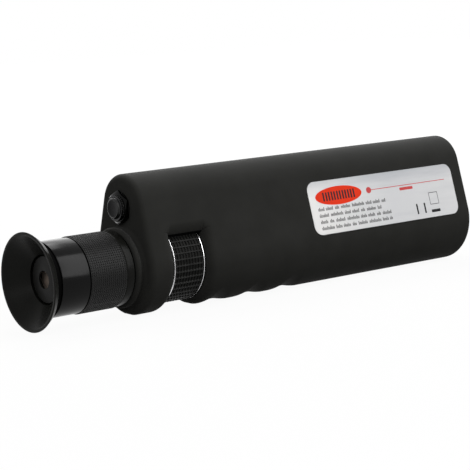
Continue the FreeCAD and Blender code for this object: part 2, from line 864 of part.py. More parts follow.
# Focus wheel, its nut and bearings
def make_focus_wheel():
    body = new_body("focus_wheel", optical_place)
    blank = new_sketch(body, "wheel_profile", "XZ_Plane")
    bore = s.hub_radius + s.seat_gap
    shoulder = s.wheel_radius - s.wheel_chamfer
    draw_outline(blank, [
        (wheel_front, bore),
        (wheel_front, shoulder),
        (wheel_front + s.wheel_chamfer, s.wheel_radius),
        (wheel_rear - s.wheel_chamfer, s.wheel_radius),
        (wheel_rear, shoulder),
        (wheel_rear, bore),
    ])
    spin(body, "Revolution", blank, "wheel_blank")
    doc.recompute()
    before = body.Shape.Volume
    tooth = new_sketch(body, "tooth_gap_section", "YZ_Plane", offset=wheel_front + s.wheel_chamfer)
    half_gap = s.tooth_gap / 2
    draw_outline(tooth, [
        (-half_gap, s.wheel_radius + s.tooth_depth),
        (-half_gap, s.wheel_radius - s.tooth_depth),
        (half_gap, s.wheel_radius - s.tooth_depth),
        (half_gap, s.wheel_radius + s.tooth_depth),
    ])
    length = s.wheel_width - 2 * s.wheel_chamfer
    gap = push(body, "Pocket", tooth, "tooth_gap", length, reversed_way=True)
    check_cut(body, before, "tooth_gap")
    pattern = body.newObject("PartDesign::PolarPattern", "tooth_gaps")
    pattern.Originals = [gap]
    pattern.Axis = (origin_axis(body, "X_Axis"), [""])
    pattern.Angle = 360
    pattern.setExpression("Occurrences", s.wheel_teeth.text)
    body.Tip = pattern
    return finish("focus_wheel", body)


def make_focus_drive():
    """The brass nut inside the wheel and the two bushes that it runs in."""
    nut_front = front_bulkhead + s.loose_gap
    nut_rear = cavity_front - s.loose_gap
    ring("focus_nut", optical_place, nut_front, nut_rear, s.tube_radius + s.running_gap, s.hub_radius)
    bush_bore = s.hub_radius + s.running_gap
    bush_outer = s.bearing_radius - s.seat_gap
    ring("front_bearing", optical_place, front_bulkhead, slot_front, bush_bore, bush_outer)
    ring("rear_bearing", optical_place, slot_rear, cavity_front, bush_bore, bush_outer)


# Focus carriage: the tube that carries the objective and the lamp, set out from the rear face
guide_end = s.housing_length - s.mount_guide_end
cell_end = guide_end - s.focus_room
shoulder_end = cell_end - s.cell_barrel
tube_end = shoulder_end - s.cell_shoulder
cell_front = tube_end - s.cell_plug
splitter_place = cell_front - s.splitter_setback
front_lens_face = cell_end - s.cell_lip
holder_front = splitter_place - s.holder_length / 2


def make_objective_tube():
    body = new_body("objective_tube", optical_place)
    profile = new_sketch(body, "tube_profile", "XZ_Plane")
    draw_box(profile, s.tube_front, tube_end, tube_bore, s.tube_radius)
    spin(body, "Revolution", profile, "tube_wall")
    doc.recompute()
    before = body.Shape.Volume
    holes = new_sketch(body, "tube_holes", "XY_Plane")
    draw_circle(holes, splitter_place, 0, s.led_radius + s.led_gap)
    draw_circle(holes, s.pin_place, 0, s.pin_radius + s.seat_gap)
    push(body, "Pocket", holes, "tube_hole", s.tube_radius, reversed_way=True)
    check_cut(body, before, "tube_hole")
    return finish("objective_tube", body)


def make_guide_pin():
    body = new_body("guide_pin", optical_place)
    foot = tube_bore + s.pin_seat
    section = new_sketch(body, "pin_section", "XY_Plane", offset=foot)
    draw_circle(section, s.pin_place, 0, s.pin_radius)
    push(body, "Pad", section, "pin", rail_top - s.loose_gap - foot)
    return finish("guide_pin", body)


def make_splitter():
    """A 45 degree plate on the slanted end of a sleeve, under the lamp."""
    sleeve_radius = tube_bore - s.seat_gap
    half = s.splitter_half
    slant = s.splitter_thick * root(as_size(2))
    middle = splitter_place - slant / 2
    sleeve = new_body("splitter_sleeve", optical_place)
    profile = new_sketch(sleeve, "sleeve_profile", "XZ_Plane")
    sleeve_end = middle + sleeve_radius
    inner = sleeve_radius - s.splitter_sleeve_wall
    draw_box(profile, middle - s.splitter_sleeve, sleeve_end, inner, sleeve_radius)
    spin(sleeve, "Revolution", profile, "sleeve_wall")
    doc.recompute()
    before = sleeve.Shape.Volume
    wedge = new_sketch(sleeve, "sleeve_slant", "XZ_Plane")
    draw_outline(wedge, [
        (middle - s.tube_radius, s.tube_radius),
        (middle + s.tube_radius, -s.tube_radius),
        (middle + 2 * s.tube_radius, -s.tube_radius),
        (middle + 2 * s.tube_radius, s.tube_radius),
    ])
    push(sleeve, "Pocket", wedge, "sleeve_end_cut", 2 * s.tube_radius, both_ways=True)
    check_cut(sleeve, before, "sleeve_end_cut")
    finish("splitter_sleeve", sleeve)
    plate = new_body("beam_splitter", optical_place)
    section = new_sketch(plate, "splitter_section", "XZ_Plane")
    draw_outline(section, [
        (middle - half, half),
        (middle + half, -half),
        (middle + half + slant, -half),
        (middle - half + slant, half),
    ])
    push(plate, "Pad", section, "splitter_plate", s.splitter_width, both_ways=True)
    return finish("beam_splitter", plate)


def make_lamp():
    """The saddle on the tube, the lamp in it and the board that feeds the lamp."""
    saddle = new_body("led_holder", optical_place)
    block = new_sketch(saddle, "holder_section", "XZ_Plane")
    draw_box(block, holder_front, holder_front + s.holder_length, tube_bore, s.holder_top)
    push(saddle, "Pad", block, "holder_block", s.holder_width, both_ways=True)
    doc.recompute()
    before = saddle.Shape.Volume
    seat = new_sketch(saddle, "holder_seat", "YZ_Plane", offset=holder_front)
    draw_circle(seat, 0, 0, s.tube_radius + s.seat_gap)
    push(saddle, "Pocket", seat, "holder_saddle", s.holder_length, reversed_way=True)
    check_cut(saddle, before, "holder_saddle")
    before = saddle.Shape.Volume
    bore = new_sketch(saddle, "holder_bore_section", "XY_Plane")
    draw_circle(bore, splitter_place, 0, s.led_radius + s.led_gap)
    push(saddle, "Pocket", bore, "holder_bore", s.holder_top, reversed_way=True)
    check_cut(saddle, before, "holder_bore")
    before = saddle.Shape.Volume
    sink = new_sketch(saddle, "holder_sink_section", "XY_Plane", offset=s.holder_top)
    draw_circle(sink, splitter_place, 0, s.led_radius + s.led_flange + s.led_gap)
    push(saddle, "Pocket", sink, "holder_sink", s.led_flange_thick)
    check_cut(saddle, before, "holder_sink")
    finish("led_holder", saddle)

    lamp = new_body("led", (front_x + splitter_place, axis_height))
    profile = new_sketch(lamp, "led_profile", "XZ_Plane")
    flange_low = s.holder_top - s.led_flange_thick
    draw_outline(profile, [
        (0, s.led_tip),
        (s.led_radius, s.led_tip + s.led_radius, s.led_radius, "left"),
        (s.led_radius, flange_low),
        (s.led_radius + s.led_flange, flange_low),
        (s.led_radius + s.led_flange, s.holder_top),
        (0, s.holder_top),
    ])
    dome = lamp.newObject("PartDesign::Revolution", "led_dome")
    dome.Profile = profile
    dome.ReferenceAxis = (profile, ["V_Axis"])
    dome.Angle = 360
    finish("led", lamp)

    board = new_body("led_board", optical_place)
    sheet_outline = new_sketch(board, "board_section", "XZ_Plane")
    rear = holder_front + s.holder_length + s.board_margin
    draw_box(sheet_outline, holder_front - s.board_margin, rear, s.holder_top, s.holder_top + s.board_thick)
    push(board, "Pad", sheet_outline, "board", s.holder_width + 2 * s.board_margin, both_ways=True)
    return finish("led_board", board)


def make_objective():
    """The objective cell in the end of the tube and its two lenses."""
    turned("objective_cell", optical_place, [
        (cell_front, s.cell_bore),
        (cell_front, tube_bore - s.seat_gap),
        (tube_end, tube_bore - s.seat_gap),
        (tube_end, s.tube_radius),
        (shoulder_end, s.tube_radius),
        (shoulder_end, s.cell_radius),
        (cell_end, s.cell_radius),
        (cell_end, s.cell_window),
        (front_lens_face, s.cell_window),
        (front_lens_face, s.cell_bore),
    ])
    lens_radius = s.cell_bore - s.seat_gap
    curve = cap_radius(lens_radius, s.objective_lens_sag)
    faces = {
        "objective_front_lens": front_lens_face,
        "objective_rear_lens": front_lens_face - s.objective_lens_gap,
    }
    for label, face in faces.items():
        turned(label, optical_place, [
            (face, 0),
            (face, lens_radius),
            (face - s.objective_lens_edge, lens_radius),
            (face - s.objective_lens_edge - s.objective_lens_sag, 0, curve, "left"),
        ])


# Adapter mount, its ring nut and the ferrule adapter
def make_adapter():
    rear = s.housing_length
    guide = s.cell_radius + s.running_gap
    flange_front = cover_face - s.mount_flange_thick
    sleeve_front = shoulder_end + s.sleeve_room
    turned("adapter_mount", optical_place, [
        (sleeve_front, guide),
        (sleeve_front, guide + s.mount_sleeve_wall),
        (flange_front, guide + s.mount_sleeve_wall),
        (flange_front, s.mount_flange_radius),
        (cover_face, s.mount_flange_radius),
        (cover_face, s.nose_radius),
        (rear + s.nose_length, s.nose_radius),
        (rear + s.nose_length, s.nose_bore),
        (guide_end, s.nose_bore),
        (guide_end, guide),
    ])
    ring("mount_ring_nut", optical_place, rear, rear + s.ring_nut_thick,
         s.nose_radius + s.seat_gap, s.ring_nut_radius)
    end = rear + s.adapter_reach
    wall = end - s.adapter_end
    skirt = rear + s.ring_nut_thick + s.adapter_skirt_gap
    sleeve = s.ferrule_bore + s.ferrule_sleeve_wall
    turned("ferrule_adapter", optical_place, [
        (rear - s.ferrule_sleeve_depth, s.ferrule_bore),
        (rear - s.ferrule_sleeve_depth, sleeve),
        (wall, sleeve),
        (wall, s.nose_radius + s.running_gap),
        (skirt, s.nose_radius + s.running_gap),
        (skirt, s.adapter_radius),
        (end - s.adapter_edge, s.adapter_radius),
        (end, s.adapter_radius - s.adapter_edge),
        (end, s.ferrule_bore),
    ])


# Push switch
def make_switch():
    switch_end = s.front_wall + s.switch_depth
    body = new_body("switch_body", crown_place)
    profile = new_sketch(body, "switch_profile", "XZ_Plane")
    draw_outline(profile, [
        (-s.bushing_reach, s.switch_bore),
        (-s.bushing_reach, s.bushing_radius),
        (s.front_wall, s.bushing_radius),
        (s.front_wall, s.switch_radius),
        (switch_end, s.switch_radius),
        (switch_end, 0),
        (s.switch_floor, 0),
        (s.switch_floor, s.switch_bore),
    ])
    spin(body, "Revolution", profile, "switch_can")
    terminals = new_sketch(body, "terminal_section", "YZ_Plane", offset=switch_end)
    half = s.terminal_thick / 2
    for side in (-1, 1):
        centre = side * s.terminal_spread / 2
        draw_box(terminals, centre - half, centre + half, -(s.terminal_width / 2), s.terminal_width / 2)
    push(body, "Pad", terminals, "terminals", s.terminal_length)
    finish("switch_body", body)

    hole = s.bushing_radius + s.running_gap
    ring("switch_washer", crown_place, -s.washer_rise, s.spot_depth, hole, s.washer_radius)
    nut = new_body("switch_nut", crown_place)
    section = new_sketch(nut, "nut_section", "YZ_Plane", offset=-(s.washer_rise + s.nut_thick))
    half_flat = s.nut_flat / 2
    corner = s.nut_flat / root(as_size(3))
    draw_outline(section, [
        (0, corner),
        (half_flat, corner / 2),
        (half_flat, -(corner / 2)),
        (0, -corner),
        (-half_flat, -(corner / 2)),
        (-half_flat, corner / 2),
    ])
    draw_circle(section, 0, 0, hole)
    push(nut, "Pad", section, "nut", s.nut_thick)
    finish("switch_nut", nut)


def make_button():
    radius = s.switch_bore - s.button_gap
    face = radius - s.button_edge
    dish = cap_radius(face, s.button_dish)
    roof = s.button_roof - s.button_reach
    turned("button_cap", crown_place, [
        (s.button_dish - s.button_reach, 0),
        (-s.button_reach, face, dish, "left"),
        (s.button_edge - s.button_reach, radius),
        (s.button_skirt, radius),
        (s.button_skirt, radius - s.button_wall),
        (roof, radius - s.button_wall),
        (roof, 0),
    ])
    ring("button_spring", crown_place, roof, s.switch_floor,
         s.button_spring_radius - s.button_spring_wall, s.button_spring_radius)


# Batteries, as many as fit in their tube, and its screw cap
cells_front = cavity_front + s.tube_flange_wall + s.contact_thick
plug_front = s.housing_length - s.cap_plug_length
battery_count = int((plug_front - cells_front).value / s.battery_length.value)
cells_rear = cells_front + battery_count * s.battery_length


def make_battery_tube():
    rear = s.housing_length
    bore = s.battery_radius + s.battery_gap
    flange_end = cavity_front + s.tube_flange_thick
    mouth_front = rear - s.mouth_length
    turned("battery_tube", crown_place, [
        (cavity_front, 0),
        (cavity_front, tube_flange),
        (flange_end, tube_flange),
        (flange_end, bore + s.battery_tube_wall),
        (mouth_front, bore + s.battery_tube_wall),
        (mouth_front, s.mouth_radius),
        (rear, s.mouth_radius),
        (rear, s.cap_bore),
        (rear - s.cap_bore_depth, s.cap_bore),
        (rear - s.cap_bore_depth, bore),
        (cavity_front + s.tube_flange_wall, bore),
        (cavity_front + s.tube_flange_wall, 0),
    ])


def make_batteries():
    contact_front = cavity_front + s.tube_flange_wall
    turned("battery_contact", crown_place, [
        (contact_front, 0),
        (contact_front, s.contact_radius),
        (cells_front, s.contact_radius),
        (cells_front, 0),
    ])
    for index in range(battery_count):
        front = cells_front + index * s.battery_length
        shoulder = front + s.battery_nub_length
        rear = front + s.battery_length
        turned("battery_%d" % (index + 1), crown_place, [
            (front, 0),
            (front, s.battery_nub_radius),
            (shoulder, s.battery_nub_radius),
            (shoulder, s.battery_radius),
            (rear, s.battery_radius),
            (rear, 0),
        ])


def make_battery_cap():
    rear = s.housing_length
    plug = s.cap_bore - s.cap_gap
    recess = plug_front + s.cap_recess_depth
    flange = rear + s.seal_thick + 2 * s.seal_gap
    end = flange + s.cap_flange_thick
    body = new_body("battery_cap", crown_place)
    profile = new_sketch(body, "cap_profile", "XZ_Plane")
    draw_outline(profile, [
        (recess, 0),
        (recess, s.cap_recess_radius),
        (plug_front, s.cap_recess_radius),
        (plug_front, plug),
        (flange, plug),
        (flange, s.mouth_radius),
        (end - s.cap_edge, s.mouth_radius),
        (end, s.mouth_radius - s.cap_edge),
        (end, 0),
    ])
    spin(body, "Revolution", profile, "cap_turned")
    doc.recompute()
    before = body.Shape.Volume
    slot = new_sketch(body, "coin_slot_section", "YZ_Plane", offset=end)
    half = s.cap_slot_width / 2
    draw_box(slot, -s.mouth_radius, s.mouth_radius, -half, half)
    push(body, "Pocket", slot, "coin_slot", s.cap_slot_depth)
    check_cut(body, before, "coin_slot")
    finish("battery_cap", body)
    ring("cap_spring", crown_place, cells_rear + s.seal_gap, recess,
         s.cap_spring_radius - s.cap_spring_wall, s.cap_spring_radius)
    seal_front = rear + s.seal_gap
    ring("cap_seal", crown_place, seal_front, seal_front + s.seal_thick,
         s.cap_bore + s.seal_gap, s.mouth_radius)


def check_document():
    """Stop before anything is written if an object failed or a shape is not sound."""
    doc.recompute()
    for item in doc.Objects:
        if "Invalid" in item.State or "Error" in item.State:
            raise RuntimeError("%s failed: %s" % (item.Name, item.State))
    for item in nodes:
        shape = item.Shape
        if shape.isNull() or not shape.isValid() or not shape.Solids:
            raise RuntimeError("%s has no sound solid" % item.Label)


def main():
    make_housing()
    make_rear_cover()
    make_cover_screws()
    make_label_plate()
    make_eyecup()
    make_eyepiece_barrel()
    make_grip_ring()
    make_eyepiece_optics()
    make_focus_wheel()
    make_focus_drive()
    make_objective_tube()
    make_guide_pin()
    make_splitter()
    make_lamp()
    make_objective()
    make_adapter()
    make_switch()
    make_button()
    make_battery_tube()
    make_batteries()
    make_battery_cap()
    check_document()
    os.makedirs("parts", exist_ok=True)
    for item in nodes:
        item.Shape.exportStep("parts/%s.step" % item.Label)
        box = item.Shape.BoundBox
        print("%-22s %9.1f mm3  x %8.2f to %8.2f" % (item.Label, item.Shape.Volume, box.XMin, box.XMax))


main()
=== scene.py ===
import json
import math

import bmesh
import bpy
from mathutils import Matrix, Vector


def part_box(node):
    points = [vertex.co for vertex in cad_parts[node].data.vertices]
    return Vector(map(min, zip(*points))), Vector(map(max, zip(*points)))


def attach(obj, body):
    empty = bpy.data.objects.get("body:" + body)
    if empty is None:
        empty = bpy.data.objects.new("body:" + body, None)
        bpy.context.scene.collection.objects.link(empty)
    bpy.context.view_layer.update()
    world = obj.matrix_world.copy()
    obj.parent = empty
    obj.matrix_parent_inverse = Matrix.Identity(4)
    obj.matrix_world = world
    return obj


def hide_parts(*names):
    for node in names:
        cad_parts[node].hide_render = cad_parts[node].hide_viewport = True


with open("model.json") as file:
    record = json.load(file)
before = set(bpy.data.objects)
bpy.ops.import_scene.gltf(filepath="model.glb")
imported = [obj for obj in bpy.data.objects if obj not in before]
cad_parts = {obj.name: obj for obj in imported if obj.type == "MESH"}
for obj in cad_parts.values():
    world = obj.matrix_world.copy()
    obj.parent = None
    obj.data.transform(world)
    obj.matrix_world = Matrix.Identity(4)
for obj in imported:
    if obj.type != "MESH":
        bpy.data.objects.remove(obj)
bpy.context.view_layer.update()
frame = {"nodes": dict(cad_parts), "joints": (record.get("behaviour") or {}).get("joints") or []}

# Handheld fiber inspection microscope. Lengths are in metres, and MM turns millimetres into metres.
MM = 0.001

# Places from the frame
joints = {joint["name"]: joint for joint in frame["joints"]}
WHEEL_X, _, AXIS_Z = joints["focus_turn"]["pos_m"]
REAR_X, _, CROWN_Z = joints["cap_turn"]["pos_m"]
RIM_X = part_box("eyecup")[0].x
HOUSING_LENGTH = 181.7 * MM
FRONT_X = REAR_X - HOUSING_LENGTH


def behind(start):
    """Gives places along the optical axis from distances in millimetres behind a start."""
    return lambda distance: start + distance * MM


from_front = behind(FRONT_X)
from_rim = behind(RIM_X)
from_rear = behind(REAR_X)


# Mesh helpers
SHARP_ANGLE = math.radians(38)
FLAT_ANGLE = math.radians(0.5)
BEVEL_ANGLE = math.radians(30)
BEVEL_STEPS = 2
MERGE_DISTANCE = 0.002 * MM
NO_RADIUS = 1e-7
SEGMENTS = 128
# Largest share of a side that the rounding of one corner takes
CORNER_SHARE = 0.49


def add_object(name, data):
    """An object in the scene."""
    made = bpy.data.objects.new(name, data)
    bpy.context.scene.collection.objects.link(made)
    return made


def add_mesh(name, bm, materials):
    """An object in the scene from a bmesh, which is used up."""
    mesh = bpy.data.meshes.new(name)
    bm.to_mesh(mesh)
    bm.free()
    for material in materials:
        mesh.materials.append(material)
    return add_object(name, mesh)


def add_piece(name, bm, materials, stands_for=(), body="housing"):
    """Turn a bmesh into a piece that rides on a body."""
    bmesh.ops.remove_doubles(bm, verts=bm.verts, dist=MERGE_DISTANCE)
    bmesh.ops.recalc_face_normals(bm, faces=bm.faces)
    for face in bm.faces:
        face.smooth = True
    for edge in bm.edges:
        if len(edge.link_faces) == 2 and edge.calc_face_angle(0.0) > SHARP_ANGLE:
            edge.smooth = False
    piece = add_mesh(name, bm, materials)
    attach(piece, body)
    if stands_for:
        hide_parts(*stands_for)


def rounded(corners, steps=5):
    """A closed outline of (x, radius) points, from corners (x, radius, rounding) in millimetres."""
    outline = []
    count = len(corners)
    for index, (x, radius, rounding) in enumerate(corners):
        here = Vector((x, radius))
        before = Vector(corners[index - 1][:2]) - here
        after = Vector(corners[(index + 1) % count][:2]) - here
        setback = min(rounding, before.length * CORNER_SHARE, after.length * CORNER_SHARE)
        if setback <= 0:
            outline.append(here)
            continue
        start = here + before.normalized() * setback
        end = here + after.normalized() * setback
        for step in range(steps + 1):
            t = step / steps
            outline.append(start * (1 - t) ** 2 + here * (2 * t * (1 - t)) + end * t ** 2)
    return outline


def turned_point(x, radius, height, angle):
    """A point round an axis that runs along X at a height."""
    return Vector((x, radius * math.sin(angle), height + radius * math.cos(angle)))


def from_axis(point, height):
    """Distance of a point from that axis, in millimetres."""
    return math.hypot(point.y, point.z - height) / MM


def add_ring(bm, x, radius, height, angles):
    """Points round the axis, or one point where the radius is nil."""
    if radius < NO_RADIUS:
        return [bm.verts.new((x, 0, height))]
    return [bm.verts.new(turned_point(x, radius, height, angle)) for angle in angles]


def join_rings(bm, first, second, material=0):
    """Faces between two rings, each closed on itself."""
    if len(first) == 1 and len(second) == 1:
        return
    count = max(len(first), len(second))
    for index in range(count):
        after = (index + 1) % count
        if len(first) == 1:
            corners = (first[0], second[index], second[after])
        elif len(second) == 1:
            corners = (first[index], first[after], second[0])
        else:
            corners = (first[index], first[after], second[after], second[index])
        bm.faces.new(corners).material_index = material


def even_angles(count):
    """Evenly spaced angles round a full turn."""
    return [2 * math.pi * index / count for index in range(count)]


def lathe(outline, place, height, segments=SEGMENTS):
    """Turn a closed outline in millimetres about the X direction. place gives x from a distance."""
    bm = bmesh.new()
    angles = even_angles(segments)
    rings = [add_ring(bm, place(x), radius * MM, height, angles) for x, radius in outline]
    for index, ring in enumerate(rings):
        join_rings(bm, rings[index - 1], ring)
    return bm


def teeth_profile(start, end, count, gap, ramp):
    """(place, height) along a row of teeth: each has half a gap, a ramp, a flat top and the same again.

    The gap and the ramp are shares of the pitch.
    """
    pitch = (end - start) / count
    points = []
    for index in range(count):
        low = start + index * pitch
        points.append((low + gap * pitch / 2, 0.0))
        points.append((low + (gap / 2 + ramp) * pitch, 1.0))
        points.append((low + (1 - gap / 2 - ramp) * pitch, 1.0))
        points.append((low + (1 - gap / 2) * pitch, 0.0))
    return points


def knurl_rings(bm, place, height, along, around, radius, depth, cross=min):
    """A grid round the X direction, as cross makes it from the two profiles: min gives raised teeth."""
    rings = []
    for x, rise_along in along:
        ring = []
        for angle, rise_around in around:
            reach = (radius - depth * (1 - cross(rise_along, rise_around))) * MM
            ring.append(bm.verts.new(turned_point(place(x), reach, height, angle)))
        rings.append(ring)
    for first, second in zip(rings, rings[1:]):
        join_rings(bm, first, second)
    return rings


def knurled_ring(place, along, around, radius, depth, outline):
    """A ring on the optical axis with raised teeth, closed by the rest of its outline."""
    bm = bmesh.new()
    rings = knurl_rings(bm, place, AXIS_Z, along, around, radius, depth)
    angles = [angle for angle, _ in around]
    rest = [add_ring(bm, place(x), r * MM, AXIS_Z, angles) for x, r in outline]
    for first, second in zip(rings[-1:] + rest, rest + rings[:1]):
        join_rings(bm, first, second)
    return bm


def add_prism(bm, *levels):
    """A closed solid through outlines that have the same number of corners."""
    rings = [[bm.verts.new(corner) for corner in level] for level in levels]
    for first, second in zip(rings, rings[1:]):
        join_rings(bm, first, second)
    bm.faces.new(rings[-1])
    bm.faces.new(reversed(rings[0]))


def paint(bm, index, chosen):
    """Give the faces whose middle passes the test another of the piece's materials."""
    for face in bm.faces:
        if chosen(face.calc_center_median()):
            face.material_index = index


def softened(node, width):
    """A copy of a CAD solid with its sharp edges rounded."""
    bm = bmesh.new()
    bm.from_mesh(frame["nodes"][node].data)
    bmesh.ops.remove_doubles(bm, verts=bm.verts, dist=MERGE_DISTANCE)
    bmesh.ops.dissolve_limit(bm, angle_limit=FLAT_ANGLE, verts=bm.verts, edges=bm.edges)
    edges = [e for e in bm.edges if len(e.link_faces) == 2 and e.calc_face_angle(0.0) > BEVEL_ANGLE]
    bmesh.ops.bevel(bm, geom=edges, offset=width * MM, offset_type="OFFSET", segments=BEVEL_STEPS,
                    profile=0.5, affect="EDGES", clamp_overlap=True)
    return bm


# Material helpers
NOISE_RANGE = (0.3, 0.7)
NOISE_ROUGHNESS = 0.55
PATCH_DETAIL = 4.0
EVEN = (1.0, 1.0, 1.0)
materials_by_name = {}


def set_inputs(node, **inputs):
    """Give each input a fixed value, or link it to another node's output."""
    for name, value in inputs.items():
        socket = node.inputs[name.replace("_", " ")]
        if isinstance(value, bpy.types.NodeSocket):
            node.id_data.links.new(value, socket)
        else:
            socket.default_value = value


def add_node(tree, kind, **inputs):
    """A shader node with its inputs set or linked."""
    node = tree.nodes.new("ShaderNode" + kind)
    set_inputs(node, **inputs)
    return node


def new_material(name, **inputs):
    """A material with its node tree and its shader."""
    material = bpy.data.materials.new(name)
    material.use_nodes = True
    materials_by_name[name] = material
    shader = material.node_tree.nodes["Principled BSDF"]
    set_inputs(shader, **inputs)
    return material, material.node_tree, shader


def add_noise(tree, size, detail=3.0, stretch=EVEN):
    """Noise whose features are about size millimetres across, stretched along the axes."""
    place = add_node(tree, "TexCoord").outputs["Object"]
    scale = tuple(1.0 / (size * MM * s) for s in stretch)
    mapping = add_node(tree, "Mapping", Vector=place, Scale=scale)
    noise = add_node(tree, "TexNoise", Vector=mapping.outputs["Vector"], Scale=1.0, Detail=detail,
                     Roughness=NOISE_ROUGHNESS)
    return noise.outputs["Fac"]


def spread(tree, value, span, low=0.0, high=1.0):
    """A number that goes from low to high while a value goes over a span."""
    start, end = span
    node = add_node(tree, "MapRange", Value=value, From_Min=start, From_Max=end, To_Min=low, To_Max=high)
    return node.outputs["Result"]


def ramp(tree, value, stops):
    """A colour from a ramp of (place, colour) stops."""
    node = add_node(tree, "ValToRGB", Fac=value)
    for place, _ in stops[1:-1]:
        node.color_ramp.elements.new(place)
    for element, (place, colour) in zip(node.color_ramp.elements, stops):
        element.position = place
        element.color = (*colour, 1.0)
    return node.outputs["Color"]


def vary(tree, noise, dark, light):
    """A colour that a noise moves between two colours."""
    return ramp(tree, noise, list(zip(NOISE_RANGE, (dark, light))))


def mix_colours(tree, factor, first, second, blend="MIX"):
    """A colour between a colour output and a fixed colour."""
    mix = tree.nodes.new("ShaderNodeMix")
    mix.data_type = "RGBA"
    mix.blend_type = blend
    set_inputs(mix, Factor=factor, A=first, B=(*second, 1.0))
    return mix.outputs["Result"]


def add_math(tree, operation, first, second, clamp=False):
    """What an operation makes of two outputs."""
    node = tree.nodes.new("ShaderNodeMath")
    node.operation = operation
    node.use_clamp = clamp
    tree.links.new(first, node.inputs[0])
    tree.links.new(second, node.inputs[1])
    return node.outputs["Value"]


def add_grain(tree, shader, size, gloss, relief, stretch=EVEN):
    """Gloss that varies between two roughnesses, with a relief of about relief millimetres to match."""
    fine = add_noise(tree, size, stretch=stretch)
    bump = add_node(tree, "Bump", Height=fine, Strength=1.0, Distance=relief * MM)
    set_inputs(shader, Roughness=spread(tree, fine, NOISE_RANGE, *gloss), Normal=bump.outputs["Normal"])


SHEEN_SPREAD = 0.5
# Upward lean of the surface where the painted sheen starts and where it is full
SHEEN_SLOPE = (-0.1, 0.7)


def add_painted_top_sheen(tree, shader, weight):
    """A painted sheen on what faces up, so that upward faces read lighter, as if lit from above."""
    axes = add_node(tree, "SeparateXYZ", Vector=add_node(tree, "NewGeometry").outputs["Normal"])
    rise = spread(tree, axes.outputs["Z"], SHEEN_SLOPE, high=weight)
    set_inputs(shader, Sheen_Roughness=SHEEN_SPREAD, Sheen_Weight=rise)


def surface(name, colour, gloss, specular=0.5, metallic=0.0, grain=0.5, relief=0.002, patch=9.0,
            shade=0.15, stretch=EVEN, sheen=0.0):
    """A material with patchy colour and gloss and a fine grain. gloss gives the two ends of the roughness."""
    material, tree, shader = new_material(name, Metallic=metallic, Specular_IOR_Level=specular)
    patches = add_noise(tree, patch, PATCH_DETAIL)
    dark = tuple(c * (1 - shade) for c in colour)
    light = tuple(c * (1 + shade) for c in colour)
    set_inputs(shader, Base_Color=vary(tree, patches, dark, light))
    add_grain(tree, shader, grain, gloss, relief, stretch)
    # Painted sheen, stronger on what faces up
    if sheen:
        add_painted_top_sheen(tree, shader, sheen)
    return material


def metal(name, colour, gloss, **details):
    """A surface of bare metal."""
    return surface(name, colour, gloss, metallic=1.0, **details)


INK_RELIEF = 0.001


def ink(name, colour, gloss, specular=0.12, shade=0.05):
    """A surface of print."""
    return surface(name, colour, gloss, specular, relief=INK_RELIEF, shade=shade)


WORN_PATCH = 6.0
WORN_SHADE = 0.8
WORN_GRAIN = 0.3
WORN_RELIEF = 0.004


def worn_surface(name, colour, worn, gloss, specular, sharp):
    """Like surface, with a lighter colour where edges stand out. sharp is the range of pointiness."""
    material, tree, shader = new_material(name, Specular_IOR_Level=specular)
    edge = spread(tree, add_node(tree, "NewGeometry").outputs["Pointiness"], sharp)
    patches = add_noise(tree, WORN_PATCH, PATCH_DETAIL)
    base = vary(tree, patches, tuple(c * WORN_SHADE for c in colour), colour)
    set_inputs(shader, Base_Color=mix_colours(tree, edge, base, worn))
    add_grain(tree, shader, WORN_GRAIN, gloss, WORN_RELIEF)
    return material


GLASS_INPUTS = {"Transmission_Weight": 0.55, "IOR": 1.5, "Coat_Weight": 0.6, "Coat_Roughness": 0.03}
BLOOM_SIZE = 4.0
BLOOM_SHADE = 0.85
BLOOM_SPREAD = 0.05


def glass(name, tint, roughness):
    """Coated glass with a faint bloom in its gloss."""
    material, tree, shader = new_material(name, **GLASS_INPUTS)
    bloom = add_noise(tree, BLOOM_SIZE)
    gloss = spread(tree, bloom, NOISE_RANGE, roughness, roughness + BLOOM_SPREAD)
    colour = vary(tree, bloom, tuple(c * BLOOM_SHADE for c in tint), tint)
    set_inputs(shader, Roughness=gloss, Base_Color=colour)
    return material


# Painted reflection on the foil: its tones from its front end to its rear end, and the painted shade towards
# its top edge
FOIL_REFLECTION_TONES = ((0.0, (0.585, 0.58, 0.57)), (0.55, (0.5, 0.505, 0.515)), (1.0, (0.58, 0.58, 0.585)))
FOIL_TOP = (0.74, 0.755, 0.785)
FOIL_TOP_SHARE = 0.3
FOIL_METALLIC = 0.3
FOIL_STREAK_SIZE = 3.0
FOIL_STREAK_STRETCH = (9.0, 1.0, 1.0)
FOIL_STREAK_DEPTH = (-0.2, 0.25)
FOIL_GRAIN = 0.8
FOIL_GLOSS = (0.28, 0.4)
FOIL_RELIEF = 0.0015


def foil(name, node):
    """Silver foil over an upright plate, with soft streaks along its length and painted reflection: tones
    that change along it and darker towards its top edge.
    """
    material, tree, shader = new_material(name, Metallic=FOIL_METALLIC)
    low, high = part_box(node)
    axes = add_node(tree, "SeparateXYZ", Vector=add_node(tree, "TexCoord").outputs["Object"])
    tone = ramp(tree, spread(tree, axes.outputs["X"], (low.x, high.x)), FOIL_REFLECTION_TONES)
    top = spread(tree, axes.outputs["Z"], (high.z - FOIL_TOP_SHARE * (high.z - low.z), high.z))
    streaks = add_noise(tree, FOIL_STREAK_SIZE, PATCH_DETAIL, FOIL_STREAK_STRETCH)
    depth = spread(tree, streaks, NOISE_RANGE, *FOIL_STREAK_DEPTH)
    shade = add_math(tree, "ADD", top, depth, clamp=True)
    set_inputs(shader, Base_Color=mix_colours(tree, shade, tone, FOIL_TOP, "MULTIPLY"))
    add_grain(tree, shader, FOIL_GRAIN, FOIL_GLOSS, FOIL_RELIEF)
    return material


# Along the turned parts, tool marks run round the axis
TURNED = (0.12, 8.0, 8.0)

